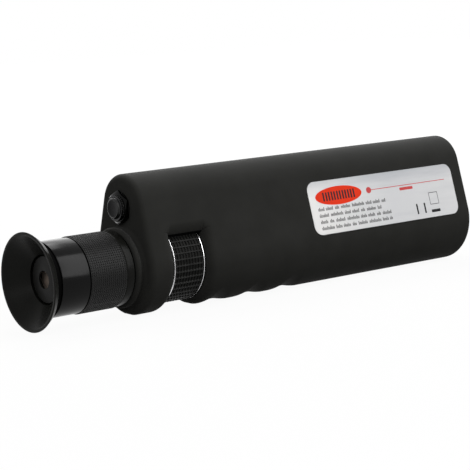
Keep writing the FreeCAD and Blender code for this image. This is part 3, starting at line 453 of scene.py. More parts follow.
SOFT_BLACK = surface("soft_touch_black", (0.0245, 0.0245, 0.0227), (0.6, 0.72), specular=0.012,
                     grain=0.35, relief=0.006, patch=14.0, shade=0.1, sheen=0.155)
# Near-black for painted shade in recesses, between parts and under the window's lip
PAINTED_SHADE_BLACK = surface("slot_black", (0.0015, 0.0015, 0.0015), (0.6, 0.7), specular=0.02, grain=0.4,
                     relief=0.004)
CUP_RUBBER = surface("cup_rubber", (0.0075, 0.0076, 0.0066), (0.24, 0.34), specular=0.055, relief=0.006,
                     patch=6.0)
GLOSS_BLACK = surface("gloss_black", (0.0022, 0.0022, 0.0022), (0.15, 0.2), specular=0.1, grain=1.5,
                      relief=0.001, patch=8.0, stretch=TURNED)
KNURL_BLACK = worn_surface("knurl_black", (0.009, 0.009, 0.0088), (0.03, 0.03, 0.03), (0.4, 0.5), 0.16,
                           (0.52, 0.62))
LENS_BLACK = surface("lens_black", (0.005, 0.005, 0.0046), (0.34, 0.46), specular=0.11, grain=0.4,
                     relief=0.003, stretch=TURNED)
glass("lens_glass", (0.56, 0.46, 0.39), 0.05)
SATIN_BLACK = surface("satin_black", (0.014, 0.014, 0.015), (0.4, 0.5), specular=0.3, grain=0.3,
                      relief=0.006)
WHEEL_BLACK = surface("wheel_black", (0.0125, 0.0125, 0.0118), (0.3, 0.4), specular=0.03, grain=0.4,
                      relief=0.003)
# Lighter colour for the wheel's rib tops, a painted highlight
WHEEL_CREST_HIGHLIGHT = surface("wheel_crest", (0.028, 0.028, 0.027), (0.3, 0.42), specular=0.05, grain=0.4,
                      relief=0.003, patch=2.0, shade=0.3)
BARE_EDGE = metal("bare_edge", (0.86, 0.86, 0.87), (0.2, 0.3), grain=0.6, shade=0.05, stretch=TURNED)
DARK_NICKEL = metal("dark_nickel", (0.009, 0.009, 0.009), (0.1, 0.18))
# Bright metal for painted glints on the nut and the thread
GLINT_NICKEL = metal("worn_nickel", (0.3, 0.3, 0.3), (0.2, 0.3))
DISH_PAINTED_REFLECTION = surface("button_dish", (0.0025, 0.0025, 0.003), (0.3, 0.4), specular=0.07, grain=0.6)
BUTTON_BLACK = surface("button_black", (0.008, 0.008, 0.008), (0.24, 0.32), specular=0.25, grain=0.6,
                       relief=0.003)
CHROME = metal("bright_chrome", (0.5, 0.5, 0.52), (0.14, 0.22), grain=0.7, relief=0.001, shade=0.04,
               stretch=TURNED)
metal("screw_steel", (0.4, 0.4, 0.42), (0.25, 0.38), grain=0.4)
metal("spring_steel", (0.5, 0.5, 0.52), (0.2, 0.3), grain=0.3, relief=0.001)
metal("contact_brass", (0.68, 0.47, 0.19), (0.22, 0.34), stretch=TURNED)
metal("bronze", (0.4, 0.24, 0.1), (0.4, 0.52), grain=0.25, relief=0.006)
surface("tube_black", (0.014, 0.014, 0.015), (0.34, 0.46), specular=0.35, stretch=TURNED)
surface("seal_rubber", (0.011, 0.011, 0.011), (0.5, 0.62), specular=0.2, grain=0.4, relief=0.005)
surface("cell_wrap", (0.1, 0.13, 0.17), (0.25, 0.34), grain=1.2)
glass("lamp_clear", (0.86, 0.88, 0.9), 0.03)
surface("board_green", (0.03, 0.13, 0.06), (0.3, 0.4), grain=0.4, relief=0.004)
LABEL_FOIL = foil("label_foil", "label_plate")
PRINT_ORANGE = ink("print_orange", (0.85, 0.045, 0.014), (0.34, 0.42), specular=0.04)
PRINT_RED = ink("print_red", (0.6, 0.07, 0.07), (0.34, 0.42))
PRINT_BLACK = ink("print_black", (0.012, 0.012, 0.013), (0.36, 0.44))
PRINT_GREY = ink("print_grey", (0.13, 0.13, 0.135), (0.36, 0.44), shade=0.08)

# Each CAD solid that shows as it is, or stands behind a piece, gets the finish that its slot names
materials_by_name["switch_black"] = SATIN_BLACK
for node in frame["nodes"].values():
    for material_slot in node.material_slots:
        material_slot.material = materials_by_name[material_slot.name]


# Housing: section, ends, grooves and wheel window
LOBE_R = 20.0 * MM
CROWN_R = 13.35 * MM
LOBE_SPACING = CROWN_Z - AXIS_Z
LOBE_WALL = 3.8 * MM
CROWN_WALL = 2.4 * MM
INNER_LOBE_R = LOBE_R - LOBE_WALL
INNER_CROWN_R = CROWN_R - CROWN_WALL
INNER_DROP = AXIS_Z - LOBE_WALL
FRONT_ROUND = 2.5 * MM
REAR_ROUND = 1.5 * MM
WHEEL_MIDDLE = WHEEL_X - FRONT_X
GROOVE_PITCH = 19.2 * MM
GROOVE_DEPTH = 1.1 * MM
GROOVE_RISE = 3.0 * MM
GROOVE_COUNT = 3
GROOVE_WAVE = GROOVE_DEPTH / 4 + GROOVE_PITCH ** 2 / (16 * GROOVE_DEPTH)
WHEEL_HALF = 8.05 * MM
SIDE_GAP = 0.5 * MM
SLOT_FRONT = WHEEL_MIDDLE - WHEEL_HALF - SIDE_GAP
SLOT_REAR = WHEEL_MIDDLE + WHEEL_HALF + SIDE_GAP
WINDOW_ROUND = 3.6 * MM
EDGE_LOW = LOBE_R - WINDOW_ROUND
SLOT_CEILING = 17.7 * MM
WINDOW_END = math.radians(131)
WINDOW_FADE = math.radians(6)
WINDOW_LIP = math.radians(7)
LIP_SHADE_END = math.radians(131.5)
BULKHEAD = 4.0 * MM
BEARING_R = 11.8 * MM
SPIGOT_R = 13.65 * MM
SPIGOT_START = 1.0 * MM
NECK_R = 14.5 * MM
NECK_LIP = 0.5 * MM
COLLAR_REACH = 4.4 * MM
BEAD_R = 1.2 * MM
BEAD_CREST = 16.4 * MM
HOLLOW_SINK = 0.1 * MM
FOOT_R = 17.3 * MM
TROUGH_TURN = (-100, -135)
ANGLE_SLACK = 1e-9

# How finely the housing's skin is divided
LAND_STEPS = 4
SIDE_STEPS = 44
FADE_STEPS = 6
ROUND_STEPS = 12
CROWN_STEPS = 52
SHORT_STEPS = 8
WAVE_STEPS = 72
PLAIN_STEPS = 24
SLOT_STEPS = 14
FACE_STEPS = 10


def quarter(t):
    """A quarter round from 0 to 1, steep at first."""
    return math.sqrt(max(0.0, 1 - (1 - min(max(t, 0.0), 1.0)) ** 2))


def ease(t):
    """A smooth step from 0 to 1."""
    t = min(max(t, 0.0), 1.0)
    return t * t * (3 - 2 * t)


def pear_radius(angle, lobe, crown, drop):
    """Distance from the optical axis to a pear section, at an angle from straight down."""
    turn = abs(angle)
    lean = math.asin((lobe - crown) / LOBE_SPACING)
    crown_turn = math.pi - math.atan2(crown * math.cos(lean), LOBE_SPACING + crown * math.sin(lean))
    if turn < math.acos(drop / lobe):
        return drop / math.cos(turn)
    if turn < math.pi / 2 + lean:
        return lobe
    if turn < crown_turn:
        return lobe / math.sin(turn - lean)
    aside = LOBE_SPACING * math.sin(turn)
    return -LOBE_SPACING * math.cos(turn) + math.sqrt(max(0.0, crown ** 2 - aside ** 2))


def end_inset(x):
    """How far the rounded ends of the housing draw in."""
    front = max(0.0, FRONT_ROUND - x)
    rear = max(0.0, x - (HOUSING_LENGTH - REAR_ROUND))
    inset = FRONT_ROUND - math.sqrt(FRONT_ROUND ** 2 - front ** 2)
    return inset + REAR_ROUND - math.sqrt(max(0.0, REAR_ROUND ** 2 - rear ** 2))


def groove_radius(x, angle):
    """Distance from the optical axis to the wave of finger grooves, which turns about a higher axis."""
    along = x - WHEEL_MIDDLE - GROOVE_PITCH
    index = round(along / GROOVE_PITCH)
    if abs(angle) > math.pi / 2 or not 0 <= index < GROOVE_COUNT:
        return math.inf
    away = abs(along - index * GROOVE_PITCH)
    crest = LOBE_R + GROOVE_RISE
    if away < GROOVE_PITCH / 4:
        limit = crest - GROOVE_DEPTH + GROOVE_WAVE - math.sqrt(GROOVE_WAVE ** 2 - away ** 2)
    else:
        limit = crest - GROOVE_WAVE + math.sqrt(GROOVE_WAVE ** 2 - (GROOVE_PITCH / 2 - away) ** 2)
    rise = GROOVE_RISE * math.cos(angle)
    return -rise + math.sqrt(rise ** 2 + limit ** 2 - GROOVE_RISE ** 2)


def window_radius(x, angle, radius):
    """The radius as drawn in by the soft edges of the wheel window."""
    turn = abs(angle)
    outside = max(SLOT_FRONT - x, x - SLOT_REAR, 0.0)
    if turn >= WINDOW_END + WINDOW_LIP or outside >= WINDOW_ROUND:
        return radius
    low = EDGE_LOW + (SLOT_CEILING - EDGE_LOW) * ease((turn - WINDOW_END) / WINDOW_FADE + 1)
    edge = min(radius, low + (radius - low) * quarter(outside / WINDOW_ROUND))
    return edge + (radius - edge) * quarter((turn - WINDOW_END) / WINDOW_LIP)


def skin_radius(x, angle):
    """Distance from the optical axis to the housing's outer skin."""
    inset = end_inset(x)
    radius = pear_radius(angle, LOBE_R - inset, CROWN_R - inset, AXIS_Z - inset)
    return window_radius(x, angle, min(radius, groove_radius(x, angle)))


def steps_between(start, end, count):
    """Evenly spaced values from start up to, and without, end."""
    return [start + (end - start) * index / count for index in range(count)]


def quarter_turn(count):
    """Evenly spaced angles from nil up to, and without, a right angle."""
    return steps_between(0.0, math.pi / 2, count)


def section_angles():
    """Angles from straight down, closer together at the ends of the window."""
    land = math.acos(AXIS_Z / LOBE_R)
    half = steps_between(0.0, land, LAND_STEPS)
    half += steps_between(land, WINDOW_END - WINDOW_FADE, SIDE_STEPS)
    half += steps_between(WINDOW_END - WINDOW_FADE, WINDOW_END, FADE_STEPS)
    half += [WINDOW_END + WINDOW_LIP * (1 - math.cos(t)) for t in quarter_turn(ROUND_STEPS)]
    half += steps_between(WINDOW_END + WINDOW_LIP, math.pi, CROWN_STEPS)
    return [-angle for angle in reversed(half[1:])] + half + [math.pi]


def front_stations():
    """Places of the skin from the front edge of the slot to the front face."""
    edge = [SLOT_FRONT - WINDOW_ROUND * (1 - math.cos(t)) for t in quarter_turn(ROUND_STEPS)]
    flat = steps_between(SLOT_FRONT - WINDOW_ROUND, FRONT_ROUND, SHORT_STEPS)
    nose = [FRONT_ROUND * (1 - math.sin(t)) for t in quarter_turn(ROUND_STEPS)]
    return edge + flat + nose + [0.0]


def rear_stations():
    """Places of the skin from the rear edge of the slot to the rear face."""
    grooves_end = WHEEL_MIDDLE + GROOVE_PITCH * (GROOVE_COUNT + 0.5)
    tail_start = HOUSING_LENGTH - REAR_ROUND
    edge = [SLOT_REAR + WINDOW_ROUND * (1 - math.cos(t)) for t in quarter_turn(ROUND_STEPS)]
    waves = steps_between(SLOT_REAR + WINDOW_ROUND, grooves_end, WAVE_STEPS)
    straight = steps_between(grooves_end, tail_start, PLAIN_STEPS)
    tail = [tail_start + REAR_ROUND * math.sin(t) for t in quarter_turn(SHORT_STEPS)]
    return edge + waves + straight + tail + [HOUSING_LENGTH]


def arc(centre, radius, start, end, steps=10):
    """Points (x, radius) on an arc, with its angles in degrees from the X direction outwards."""
    turns = [math.radians(start + (end - start) * step / steps) for step in range(steps + 1)]
    return [(centre[0] + radius * math.cos(t), centre[1] + radius * math.sin(t)) for t in turns]


def bend(start, control, end, steps=10):
    """Points (x, radius) on a soft curve from start to end that leans towards control."""
    shares = [step / steps for step in range(steps + 1)]
    return [tuple((1 - t) ** 2 * a + 2 * t * (1 - t) * b + t * t * c for a, b, c in zip(start, control, end))
            for t in shares]


def collar_outline():
    """From the front face: a hollow, the bead round the eyepiece and the stepped bore inside it."""
    bead = (BEAD_R - COLLAR_REACH, BEAD_CREST - BEAD_R)
    slope = math.sqrt(0.5)
    hollow_r = (HOLLOW_SINK - bead[0] - BEAD_R * slope) / (1 + slope)
    reach = (BEAD_R + hollow_r) * slope
    hollow = (bead[0] + reach, bead[1] + reach)
    lip = (NECK_LIP - COLLAR_REACH, NECK_R + NECK_LIP)
    bulkhead = SLOT_FRONT - BULKHEAD
    bore = [(SPIGOT_START, NECK_R), (SPIGOT_START, SPIGOT_R), (bulkhead, SPIGOT_R), (bulkhead, BEARING_R),
            (SLOT_FRONT, BEARING_R)]
    trough = arc(hollow, hollow_r, *TROUGH_TURN)
    foot = bend((0.0, FOOT_R), (0.0, trough[0][1]), trough[0])
    return foot + trough[1:] + arc(bead, BEAD_R, 45, 180) + arc(lip, NECK_LIP, 180, 270) + bore


def make_housing():
    """One closed skin: the outside, the slot that the wheel turns in and the long cavity."""
    bm = bmesh.new()
    angles = section_angles()
    count = len(angles)
    in_window = [abs(angle) <= WINDOW_END + ANGLE_SLACK for angle in angles]
    all_cells = range(count)
    bridge_cells = [c for c in all_cells if not (in_window[c] and in_window[(c + 1) % count])]

    def point(x, radius, angle):
        return bm.verts.new((FRONT_X + x, radius * math.sin(angle), AXIS_Z - radius * math.cos(angle)))

    def ring(x, radius_at):
        return [point(x, radius_at(angle), angle) for angle in angles]

    def close(rings, cells, dark=()):
        for first, second in zip(rings, rings[1:]):
            for cell in cells:
                after = (cell + 1) % count
                face = bm.faces.new((first[cell], first[after], second[after], second[cell]))
                face.material_index = 1 if cell in dark else 0

    def slot_top(edge_ring, x):
        """Outer edge of a slot wall: the skin's own edge in the window, the ceiling elsewhere."""
        pairs = zip(edge_ring, angles, in_window)
        return [vert if inside else point(x, SLOT_CEILING, angle) for vert, angle, inside in pairs]

    front = [ring(x, lambda a, x=x: skin_radius(x, a)) for x in front_stations()]
    collar = collar_outline()
    foot = collar[0][1]
    for step in range(1, FACE_STEPS):
        share = 1 - step / FACE_STEPS
        front.append(ring(0.0, lambda a: foot + share * (skin_radius(0.0, a) - foot)))
    for x, radius in collar:
        front.append(ring(x, lambda a: radius))
    top_front = slot_top(front[0], SLOT_FRONT)
    close(front + [top_front], all_cells)

    rear = [ring(x, lambda a, x=x: skin_radius(x, a)) for x in rear_stations()]
    cavity_front = SLOT_REAR + BULKHEAD
    for x in (HOUSING_LENGTH, cavity_front):
        rear.append(ring(x, lambda a: pear_radius(a, INNER_LOBE_R, INNER_CROWN_R, INNER_DROP)))
    for x in (cavity_front, SLOT_REAR):
        rear.append(ring(x, lambda a: BEARING_R))
    top_rear = slot_top(rear[0], SLOT_REAR)
    close(rear + [top_rear], all_cells)

    outer = [front[0]]
    ceiling = [top_front]
    for x in steps_between(SLOT_FRONT, SLOT_REAR, SLOT_STEPS)[1:]:
        skin = [None if inside else point(x, skin_radius(x, a), a) for a, inside in zip(angles, in_window)]
        roof = [None if inside else point(x, SLOT_CEILING, a) for a, inside in zip(angles, in_window)]
        for cell in bridge_cells:
            for index in (cell, (cell + 1) % count):
                if skin[index] is None:
                    skin[index] = roof[index] = point(x, SLOT_CEILING, angles[index])
        outer.append(skin)
        ceiling.append(roof)
    # Painted shade: the faces just under the window's lip and the whole slot ceiling get the near-black,
    # standing in for the shadow under the lip
    lip_shade_cells = [c for c in bridge_cells
                 if (abs(angles[c]) + abs(angles[(c + 1) % count])) / 2 < LIP_SHADE_END]
    close(outer + [rear[0]], bridge_cells, lip_shade_cells)
    close(ceiling + [top_rear], bridge_cells, bridge_cells)
    add_piece("housing_shell", bm, [SOFT_BLACK, PAINTED_SHADE_BLACK], ["housing"])


# Eyecup and eyepiece, in millimetres from the eyecup's rim. Corners are (x, radius, rounding).
CUP_BACK = 6.5
CUP_STEPS = 6
CUP_OUTLINE = (
    (0.0, 18.5, 0.5), (0.0, 19.95, 0.6), (3.0, 17.75, 0.9), (4.1, 15.2, 1.0), (5.0, 14.7, 0.5),
    (CUP_BACK, 14.7, 0.15), (CUP_BACK, 12.4, 0.0), (12.0, 12.4, 0.0), (12.0, 10.6, 0.0), (7.6, 10.6, 0.2),
    (7.6, 9.8, 0.3), (3.4, 14.6, 1.5),
)
# Painted shade round the cup's back, in the recess towards the barrel: where each band starts and ends, and
# the radius that it lies outside
CUP_PAINTED_SHADE = ((3.0, 4.0, 15.15), (4.0, CUP_BACK, 14.3))
BARREL_R = 15.2
GRIP_START = 19.6
BARREL_OUTLINE = (
    (10.0, 9.0, 0.0), (10.0, 10.55, 0.2), (12.05, 10.55, 0.0), (12.05, 12.45, 0.0), (CUP_BACK, 12.45, 0.0),
    (CUP_BACK, BARREL_R, 0.3), (19.15, BARREL_R, 0.1), (GRIP_START, 14.6, 0.0), (GRIP_START, 14.0, 0.0),
    (46.2, 14.0, 0.2), (46.2, 13.6, 0.1), (52.8, 13.6, 0.3), (52.8, 7.9, 0.2), (44.3, 7.9, 0.0),
    (44.3, 9.0, 0.0),
)
DISC_OUTLINE = (
    (7.4, 3.5, 0.3), (8.2, 9.4, 0.3), (10.0, 9.4, 0.1), (10.0, 8.95, 0.0), (10.7, 8.95, 0.1),
    (10.7, 7.9, 0.1), (9.2, 7.9, 0.0), (8.4, 3.5, 0.2),
)


def make_eyepiece():
    """The eyecup, the glossy barrel and the disc round the eye lens."""
    cup = lathe(rounded(CUP_OUTLINE, CUP_STEPS), from_rim, AXIS_Z)
    # Painted shade on the cup's back
    for start, end, inner in CUP_PAINTED_SHADE:
        paint(cup, 1, lambda p: from_rim(start) < p.x < from_rim(end) and from_axis(p, AXIS_Z) > inner)
    add_piece("eyecup_rubber", cup, [CUP_RUBBER, PAINTED_SHADE_BLACK], ["eyecup"])
    barrel = lathe(rounded(BARREL_OUTLINE), from_rim, AXIS_Z)
    add_piece("barrel_gloss", barrel, [GLOSS_BLACK], ["eyepiece_barrel"])
    disc = lathe(rounded(DISC_OUTLINE), from_rim, AXIS_Z)
    add_piece("eye_lens_disc", disc, [LENS_BLACK], ["eye_lens_retainer"])


GRIP_END = 36.7
GRIP_LIP_END = 40.3
GRIP_LIP_R = 15.2
GRIP_NECK_R = 15.0
GRIP_BORE = 14.05
GRIP_ROWS = 17
GRIP_TEETH = 96
GRIP_TOOTH = (0.34, 0.14)
GRIP_R = 15.6
GRIP_DEPTH = 0.28
GRIP_EDGE = 0.3
GRIP_SHADED_FACE = 0.12


def make_grip():
    """The knurled grip ring, with a smooth lip behind it and a front face painted dark as shade in the groove
    towards the barrel.
    """
    root = GRIP_R - GRIP_DEPTH
    along = teeth_profile(GRIP_START + GRIP_EDGE, GRIP_END - GRIP_EDGE, GRIP_ROWS, *GRIP_TOOTH)
    around = teeth_profile(0.0, 2 * math.pi, GRIP_TEETH, *GRIP_TOOTH)
    outline = rounded([
        (along[-1][0], root, 0.0), (GRIP_END, GRIP_NECK_R, 0.2), (GRIP_END + GRIP_EDGE, GRIP_LIP_R, 0.15),
        (GRIP_LIP_END, GRIP_LIP_R, 0.3), (GRIP_LIP_END, GRIP_BORE, 0.0), (GRIP_START, GRIP_BORE, 0.0),
        (GRIP_START, root, 0.15), (along[0][0], root, 0.0),
    ])
    grip = knurled_ring(from_rim, along, around, GRIP_R, GRIP_DEPTH, outline)
    paint(grip, 1, lambda p: p.x > from_rim(GRIP_END))
    # Painted shade on the front face, in the groove between barrel and grip
    paint(grip, 2, lambda p: p.x < from_rim(GRIP_START + GRIP_SHADED_FACE))
    finishes = [KNURL_BLACK, CUP_RUBBER, PAINTED_SHADE_BLACK]
    add_piece("grip_knurl", grip, finishes, ["grip_ring"])


# Focus wheel, in millimetres from its middle
WHEEL_R = 17.2
WHEEL_CHAMFER = 0.6
FRONT_RIM = 0.1
REAR_RIM = 0.2
CHAMFER_SPLIT = 0.25
WHEEL_ROWS = 10
WHEEL_TEETH = 42
WHEEL_RIB = (0.5, 0.1)
WHEEL_TOOTH = (0.6, 0.11)
WHEEL_DEPTH = 0.65
WHEEL_BORE = 10.02
LOW_RIB = 0.6
CREST_DIP = 0.14
HIGHLIGHT_BAND = 0.15
# Finish of the faces at each end, from the teeth out: foot, wall, rim, chamfer in two halves and side
RIM_FINISHES = (0, 0, 1, 1, 0, 0)


def make_wheel():
    """Rows of pits between ribs, with a bare metal rim at each end and rib tops painted lighter as
    highlights.
    """
    bm = bmesh.new()
    half = WHEEL_HALF / MM
    chamfer = half - WHEEL_CHAMFER
    front_rim = chamfer - FRONT_RIM
    rear_rim = chamfer - REAR_RIM
    place = behind(WHEEL_X)

    def ribs(rise_along, rise_around):
        crest = 1 - CREST_DIP * (1 - rise_along)
        return max(crest * rise_around, LOW_RIB * rise_along)

    along = teeth_profile(-front_rim, rear_rim, WHEEL_ROWS, *WHEEL_RIB)
    around = teeth_profile(0.0, 2 * math.pi, WHEEL_TEETH, *WHEEL_TOOTH)
    rings = knurl_rings(bm, place, AXIS_Z, along, around, WHEEL_R, WHEEL_DEPTH, cross=ribs)
    angles = [angle for angle, _ in around]
    shoulder = WHEEL_R - WHEEL_CHAMFER
    ends = []
    for side, edge, rim in ((-1, rings[0], front_rim), (1, rings[-1], rear_rim)):
        outline = [(rim, WHEEL_R - WHEEL_DEPTH), (rim, WHEEL_R), (chamfer, WHEEL_R),
                   (chamfer + CHAMFER_SPLIT, WHEEL_R - CHAMFER_SPLIT), (half, shoulder), (half, WHEEL_BORE)]
        circles = [add_ring(bm, place(side * x), r * MM, AXIS_Z, angles) for x, r in outline]
        for first, second, finish in zip([edge] + circles, circles, RIM_FINISHES):
            join_rings(bm, first, second, finish)
        ends.append(circles[-1])
    join_rings(bm, *ends)
    # Painted highlight: the rib tops get a lighter colour
    crest_start = WHEEL_R - HIGHLIGHT_BAND
    paint(bm, 2, lambda p: abs(p.x - WHEEL_X) < rear_rim * MM and from_axis(p, AXIS_Z) > crest_start)
    finishes = [WHEEL_BLACK, BARE_EDGE, WHEEL_CREST_HIGHLIGHT]
    add_piece("wheel_knurl", bm, finishes, ["focus_wheel"], "focus_wheel")


# Push switch, in millimetres from the housing's front face
SWITCH_SEGMENTS = 96
BUTTON_OUTLINE = (
    (-3.55, 0.0, 0.0), (-3.64, 1.9, 0.6), (-3.9, 3.75, 0.3), (-3.3, 4.32, 0.35), (4.5, 4.32, 0.2),
    (4.5, 3.12, 0.0), (-2.1, 3.12, 0.0), (-2.1, 0.0, 0.0),
)
DISH_END = -3.5
DISH_R = 3.4
THREAD_START = -2.85
THREAD_END = -1.75
THREAD_COUNT = 3
THREAD_BED = 5.1
THREAD_ROOT = 5.11
THREAD_CREST = 5.3
# Where the crest of each thread starts and ends and where its side with a painted highlight starts, as shares
# of the pitch
THREAD_FLAT = (0.4, 0.6)
THREAD_GLINT = 0.5
WASHER_OUTLINE = ((-0.5, 5.15, 0.05), (-0.5, 6.4, 0.15), (0.3, 6.4, 0.05), (0.3, 5.15, 0.05))

NUT_FRONT = -1.7
NUT_REAR = -0.5
NUT_HOLE = 5.15
NUT_FLAT = 6.2
NUT_FACE = 5.85
NUT_SLOPE = math.tan(math.radians(30))
# The nut's corners with a painted glint: their turns in degrees, place, radius, size and rear limit
GLINT_CORNERS = (60, 180)
GLINT_PLACE = NUT_FRONT + 0.3
GLINT_REACH = 6.7
GLINT_SIZE = 2.0
GLINT_END = -0.9


def make_nut():
    """A hex nut with its corners turned off, two of them painted bright as glints."""
    bm = bmesh.new()
    angles = even_angles(SWITCH_SEGMENTS)
    sixth = math.pi / 3
    reach = [NUT_FLAT / math.cos(angle % sixth - sixth / 2) for angle in angles]

    def ring(x_at, radius_at):
        points = [(from_front(x_at(r)), radius_at(r) * MM, CROWN_Z, a) for r, a in zip(reach, angles)]
        return [bm.verts.new(turned_point(*point)) for point in points]

    rings = [
        ring(lambda r: NUT_FRONT, lambda r: NUT_HOLE),
        ring(lambda r: NUT_FRONT, lambda r: NUT_FACE),
        ring(lambda r: NUT_FRONT + (r - NUT_FACE) * NUT_SLOPE, lambda r: r),
        ring(lambda r: NUT_REAR, lambda r: r),
        ring(lambda r: NUT_REAR, lambda r: NUT_HOLE),
    ]
    for first, second in zip(rings, rings[1:] + rings[:1]):
        join_rings(bm, first, second)
    # Painted glints on two corners
    for corner in GLINT_CORNERS:
        tip = turned_point(from_front(GLINT_PLACE), GLINT_REACH * MM, CROWN_Z, math.radians(corner))
        paint(bm, 1, lambda p: (p - tip).length < GLINT_SIZE * MM and p.x < from_front(GLINT_END)
              and from_axis(p, CROWN_Z) > NUT_FACE)
    add_piece("switch_hex", bm, [DARK_NICKEL, GLINT_NICKEL], ["switch_nut"])


def make_thread():
    """Ridges round the switch in front of its nut, painted bright on one side as a highlight."""
    pitch = (THREAD_END - THREAD_START) / THREAD_COUNT
    ridges = [(THREAD_END, THREAD_BED), (THREAD_START, THREAD_BED)]
    for turn in range(THREAD_COUNT):
        start = THREAD_START + turn * pitch
        ridges.append((start, THREAD_ROOT))
        ridges += [(start + pitch * share, THREAD_CREST) for share in THREAD_FLAT]
    ridges.append((THREAD_END, THREAD_ROOT))
    thread = lathe(ridges, from_front, CROWN_Z, SWITCH_SEGMENTS)
    # Painted highlight on one side of each ridge
    paint(thread, 1, lambda p: (p.x - from_front(THREAD_START)) / (pitch * MM) % 1 > THREAD_GLINT)
    add_piece("switch_thread", thread, [DARK_NICKEL, GLINT_NICKEL])


def make_switch():
    """The dished button, the threaded bush, its nut and the washer."""
    cap = lathe(rounded(BUTTON_OUTLINE), from_front, CROWN_Z, SWITCH_SEGMENTS)
    # Painted dark reflection: the dish is darker than the ring round it
    paint(cap, 1, lambda p: p.x < from_front(DISH_END) and from_axis(p, CROWN_Z) < DISH_R)
    finishes = [BUTTON_BLACK, DISH_PAINTED_REFLECTION]
    add_piece("button_face", cap, finishes, ["button_cap"], "power_button")
    make_thread()
    make_nut()
    washer = lathe(rounded(WASHER_OUTLINE), from_front, CROWN_Z, SWITCH_SEGMENTS)
    add_piece("switch_ring", washer, [DARK_NICKEL], ["switch_washer"])


# Label, set out on the near flat of the housing in millimetres
LABEL_LENGTH = 87.6
LABEL_FRONT = 86.8
LABEL_LOW = -2.0
LABEL_HIGH = 21.2
LABEL_ROUND = 4.0
LABEL_THICK = 0.25
LABEL_CHAMFER = 0.05
PRINT_THICK = 0.02
PRINT_CHAMFER = 0.005
LEAN = math.asin((LOBE_R - CROWN_R) / LOBE_SPACING)
LABEL_OUT = Vector((0, -math.cos(LEAN), math.sin(LEAN)))
LABEL_UP = Vector((0, math.sin(LEAN), math.cos(LEAN)))
LABEL_BASE = Vector((from_front(LABEL_FRONT), 0, AXIS_Z)) + LABEL_OUT * LOBE_R


def label_point(along, up, out):
    """A point of the label, in millimetres along it, up it and out from the housing."""
    return LABEL_BASE + (Vector((1, 0, 0)) * along + LABEL_UP * up + LABEL_OUT * out) * MM


BAR_STEPS = 3


def round_rect(left, right, low, high, radius, steps=10):
    """Corners of a rectangle with round corners."""
    points = []
    for corner, (x, y) in enumerate(((right, high), (left, high), (left, low), (right, low))):
        centre_x = x - radius if x == right else x + radius
        centre_y = y - radius if y == high else y + radius
        for step in range(steps + 1):
            angle = math.pi / 2 * (corner + step / steps)
            points.append((centre_x + radius * math.cos(angle), centre_y + radius * math.sin(angle)))
    return points


def flat_plates(outlines, low, high, edge):
    """Thin plates on the label's plane, each with a small chamfer round its face."""
    bm = bmesh.new()
    for outline in outlines:
        middle = Vector((sum(p[0] for p in outline), sum(p[1] for p in outline))) / len(outline)
        inner = [p + (middle - p).normalized() * edge for p in map(Vector, outline)]
        levels = ((outline, low), (outline, high - edge), (inner, high))
        add_prism(bm, *([label_point(x, y, out) for x, y in points] for points, out in levels))
    return bm


def ellipse(middle, half, count):
    """Corners of an ellipse, from its middle and its half width and height."""
    turns = [(math.cos(angle), math.sin(angle)) for angle in even_angles(count)]
    return [(middle[0] + half[0] * x, middle[1] + half[1] * y) for x, y in turns]


def bar(left, right, low, high, radius=0.0):
    """Corners of a plain bar, round where a radius is given."""
    if radius:
        return round_rect(left, right, low, high, radius, BAR_STEPS)
    return [(right, high), (left, high), (left, low), (right, low)]


ROW_START = 4.0
ROW_LENGTHS = (41.5, 36.8, 42.4, 42.2)
ROW_TOP = 8.2
ROW_PITCH = 2.75
DASH_LENGTHS = (3.4, 5.6, 4.4, 7.2, 2.6)
DASH_GAP = 0.9
TICK_PITCH = 0.6
TICK_WIDTH = 0.34
TICK_HEIGHTS = (1.1, 1.6, 1.1, 1.1, 1.1, 1.6, 1.1)


def ticked_row(row, length):
    """Groups of upright ticks of uneven height that fill a row."""
    ticks = []
    start = ROW_START
    low = ROW_TOP - row * ROW_PITCH
    group = row
    while start < ROW_START + length - DASH_GAP:
        stop = min(ROW_START + length, start + DASH_LENGTHS[group % len(DASH_LENGTHS)])
        while start < stop - TICK_WIDTH:
            height = TICK_HEIGHTS[len(ticks) % len(TICK_HEIGHTS)]
            ticks.append(bar(start, start + TICK_WIDTH, low, low + height))
            start += TICK_PITCH
        start = stop + DASH_GAP
        group += 2
    return ticks


OVAL_MIDDLE = (17.1, 14.1)
OVAL_HALF = (13.5, 4.05)
OVAL_CORNERS = 72
OVAL_BARS = 6
OVAL_BAR_GAP = 0.8
OVAL_BAR_PITCH = 3.2
OVAL_BAR_PAIR = 1.65
OVAL_BAR_WIDTH = 0.85
OVAL_BAR_HALF = 1.9


def oval_bars():
    """Pairs of upright bars across the oval."""
    middle_x, middle_y = OVAL_MIDDLE
    low = middle_y - OVAL_BAR_HALF
    high = middle_y + OVAL_BAR_HALF
    start = middle_x - (OVAL_BARS * OVAL_BAR_PITCH - OVAL_BAR_GAP) / 2
    bars = []
    for index in range(OVAL_BARS):
        for shift in (0.0, OVAL_BAR_PAIR):
            left = start + index * OVAL_BAR_PITCH + shift
            bars.append(bar(left, left + OVAL_BAR_WIDTH, low, high))
    return bars


DOT_MIDDLE = (35.0, 14.3)
DOT_HALF = (1.5, 1.4)
DOT_CORNERS = 32
# Bars on the label: left, right, low, high and rounding
RULE = (36.0, 82.3, 14.15, 14.45, 0.14)
TAB = (53.4, 61.6, 12.1, 13.4, 0.3)
BLOCK = (70.4, 75.9, 0.1, 1.4, 0.2)
POSTS = ((61.4, 62.3, 0.3, 5.0, 0.2), (66.2, 67.1, 0.3, 5.0, 0.2))
BOX_SIDES = ((70.4, 76.0, 9.0, 9.3), (70.4, 76.0, 3.7, 4.0), (70.4, 70.7, 4.0, 9.0), (75.7, 76.0, 4.0, 9.0))


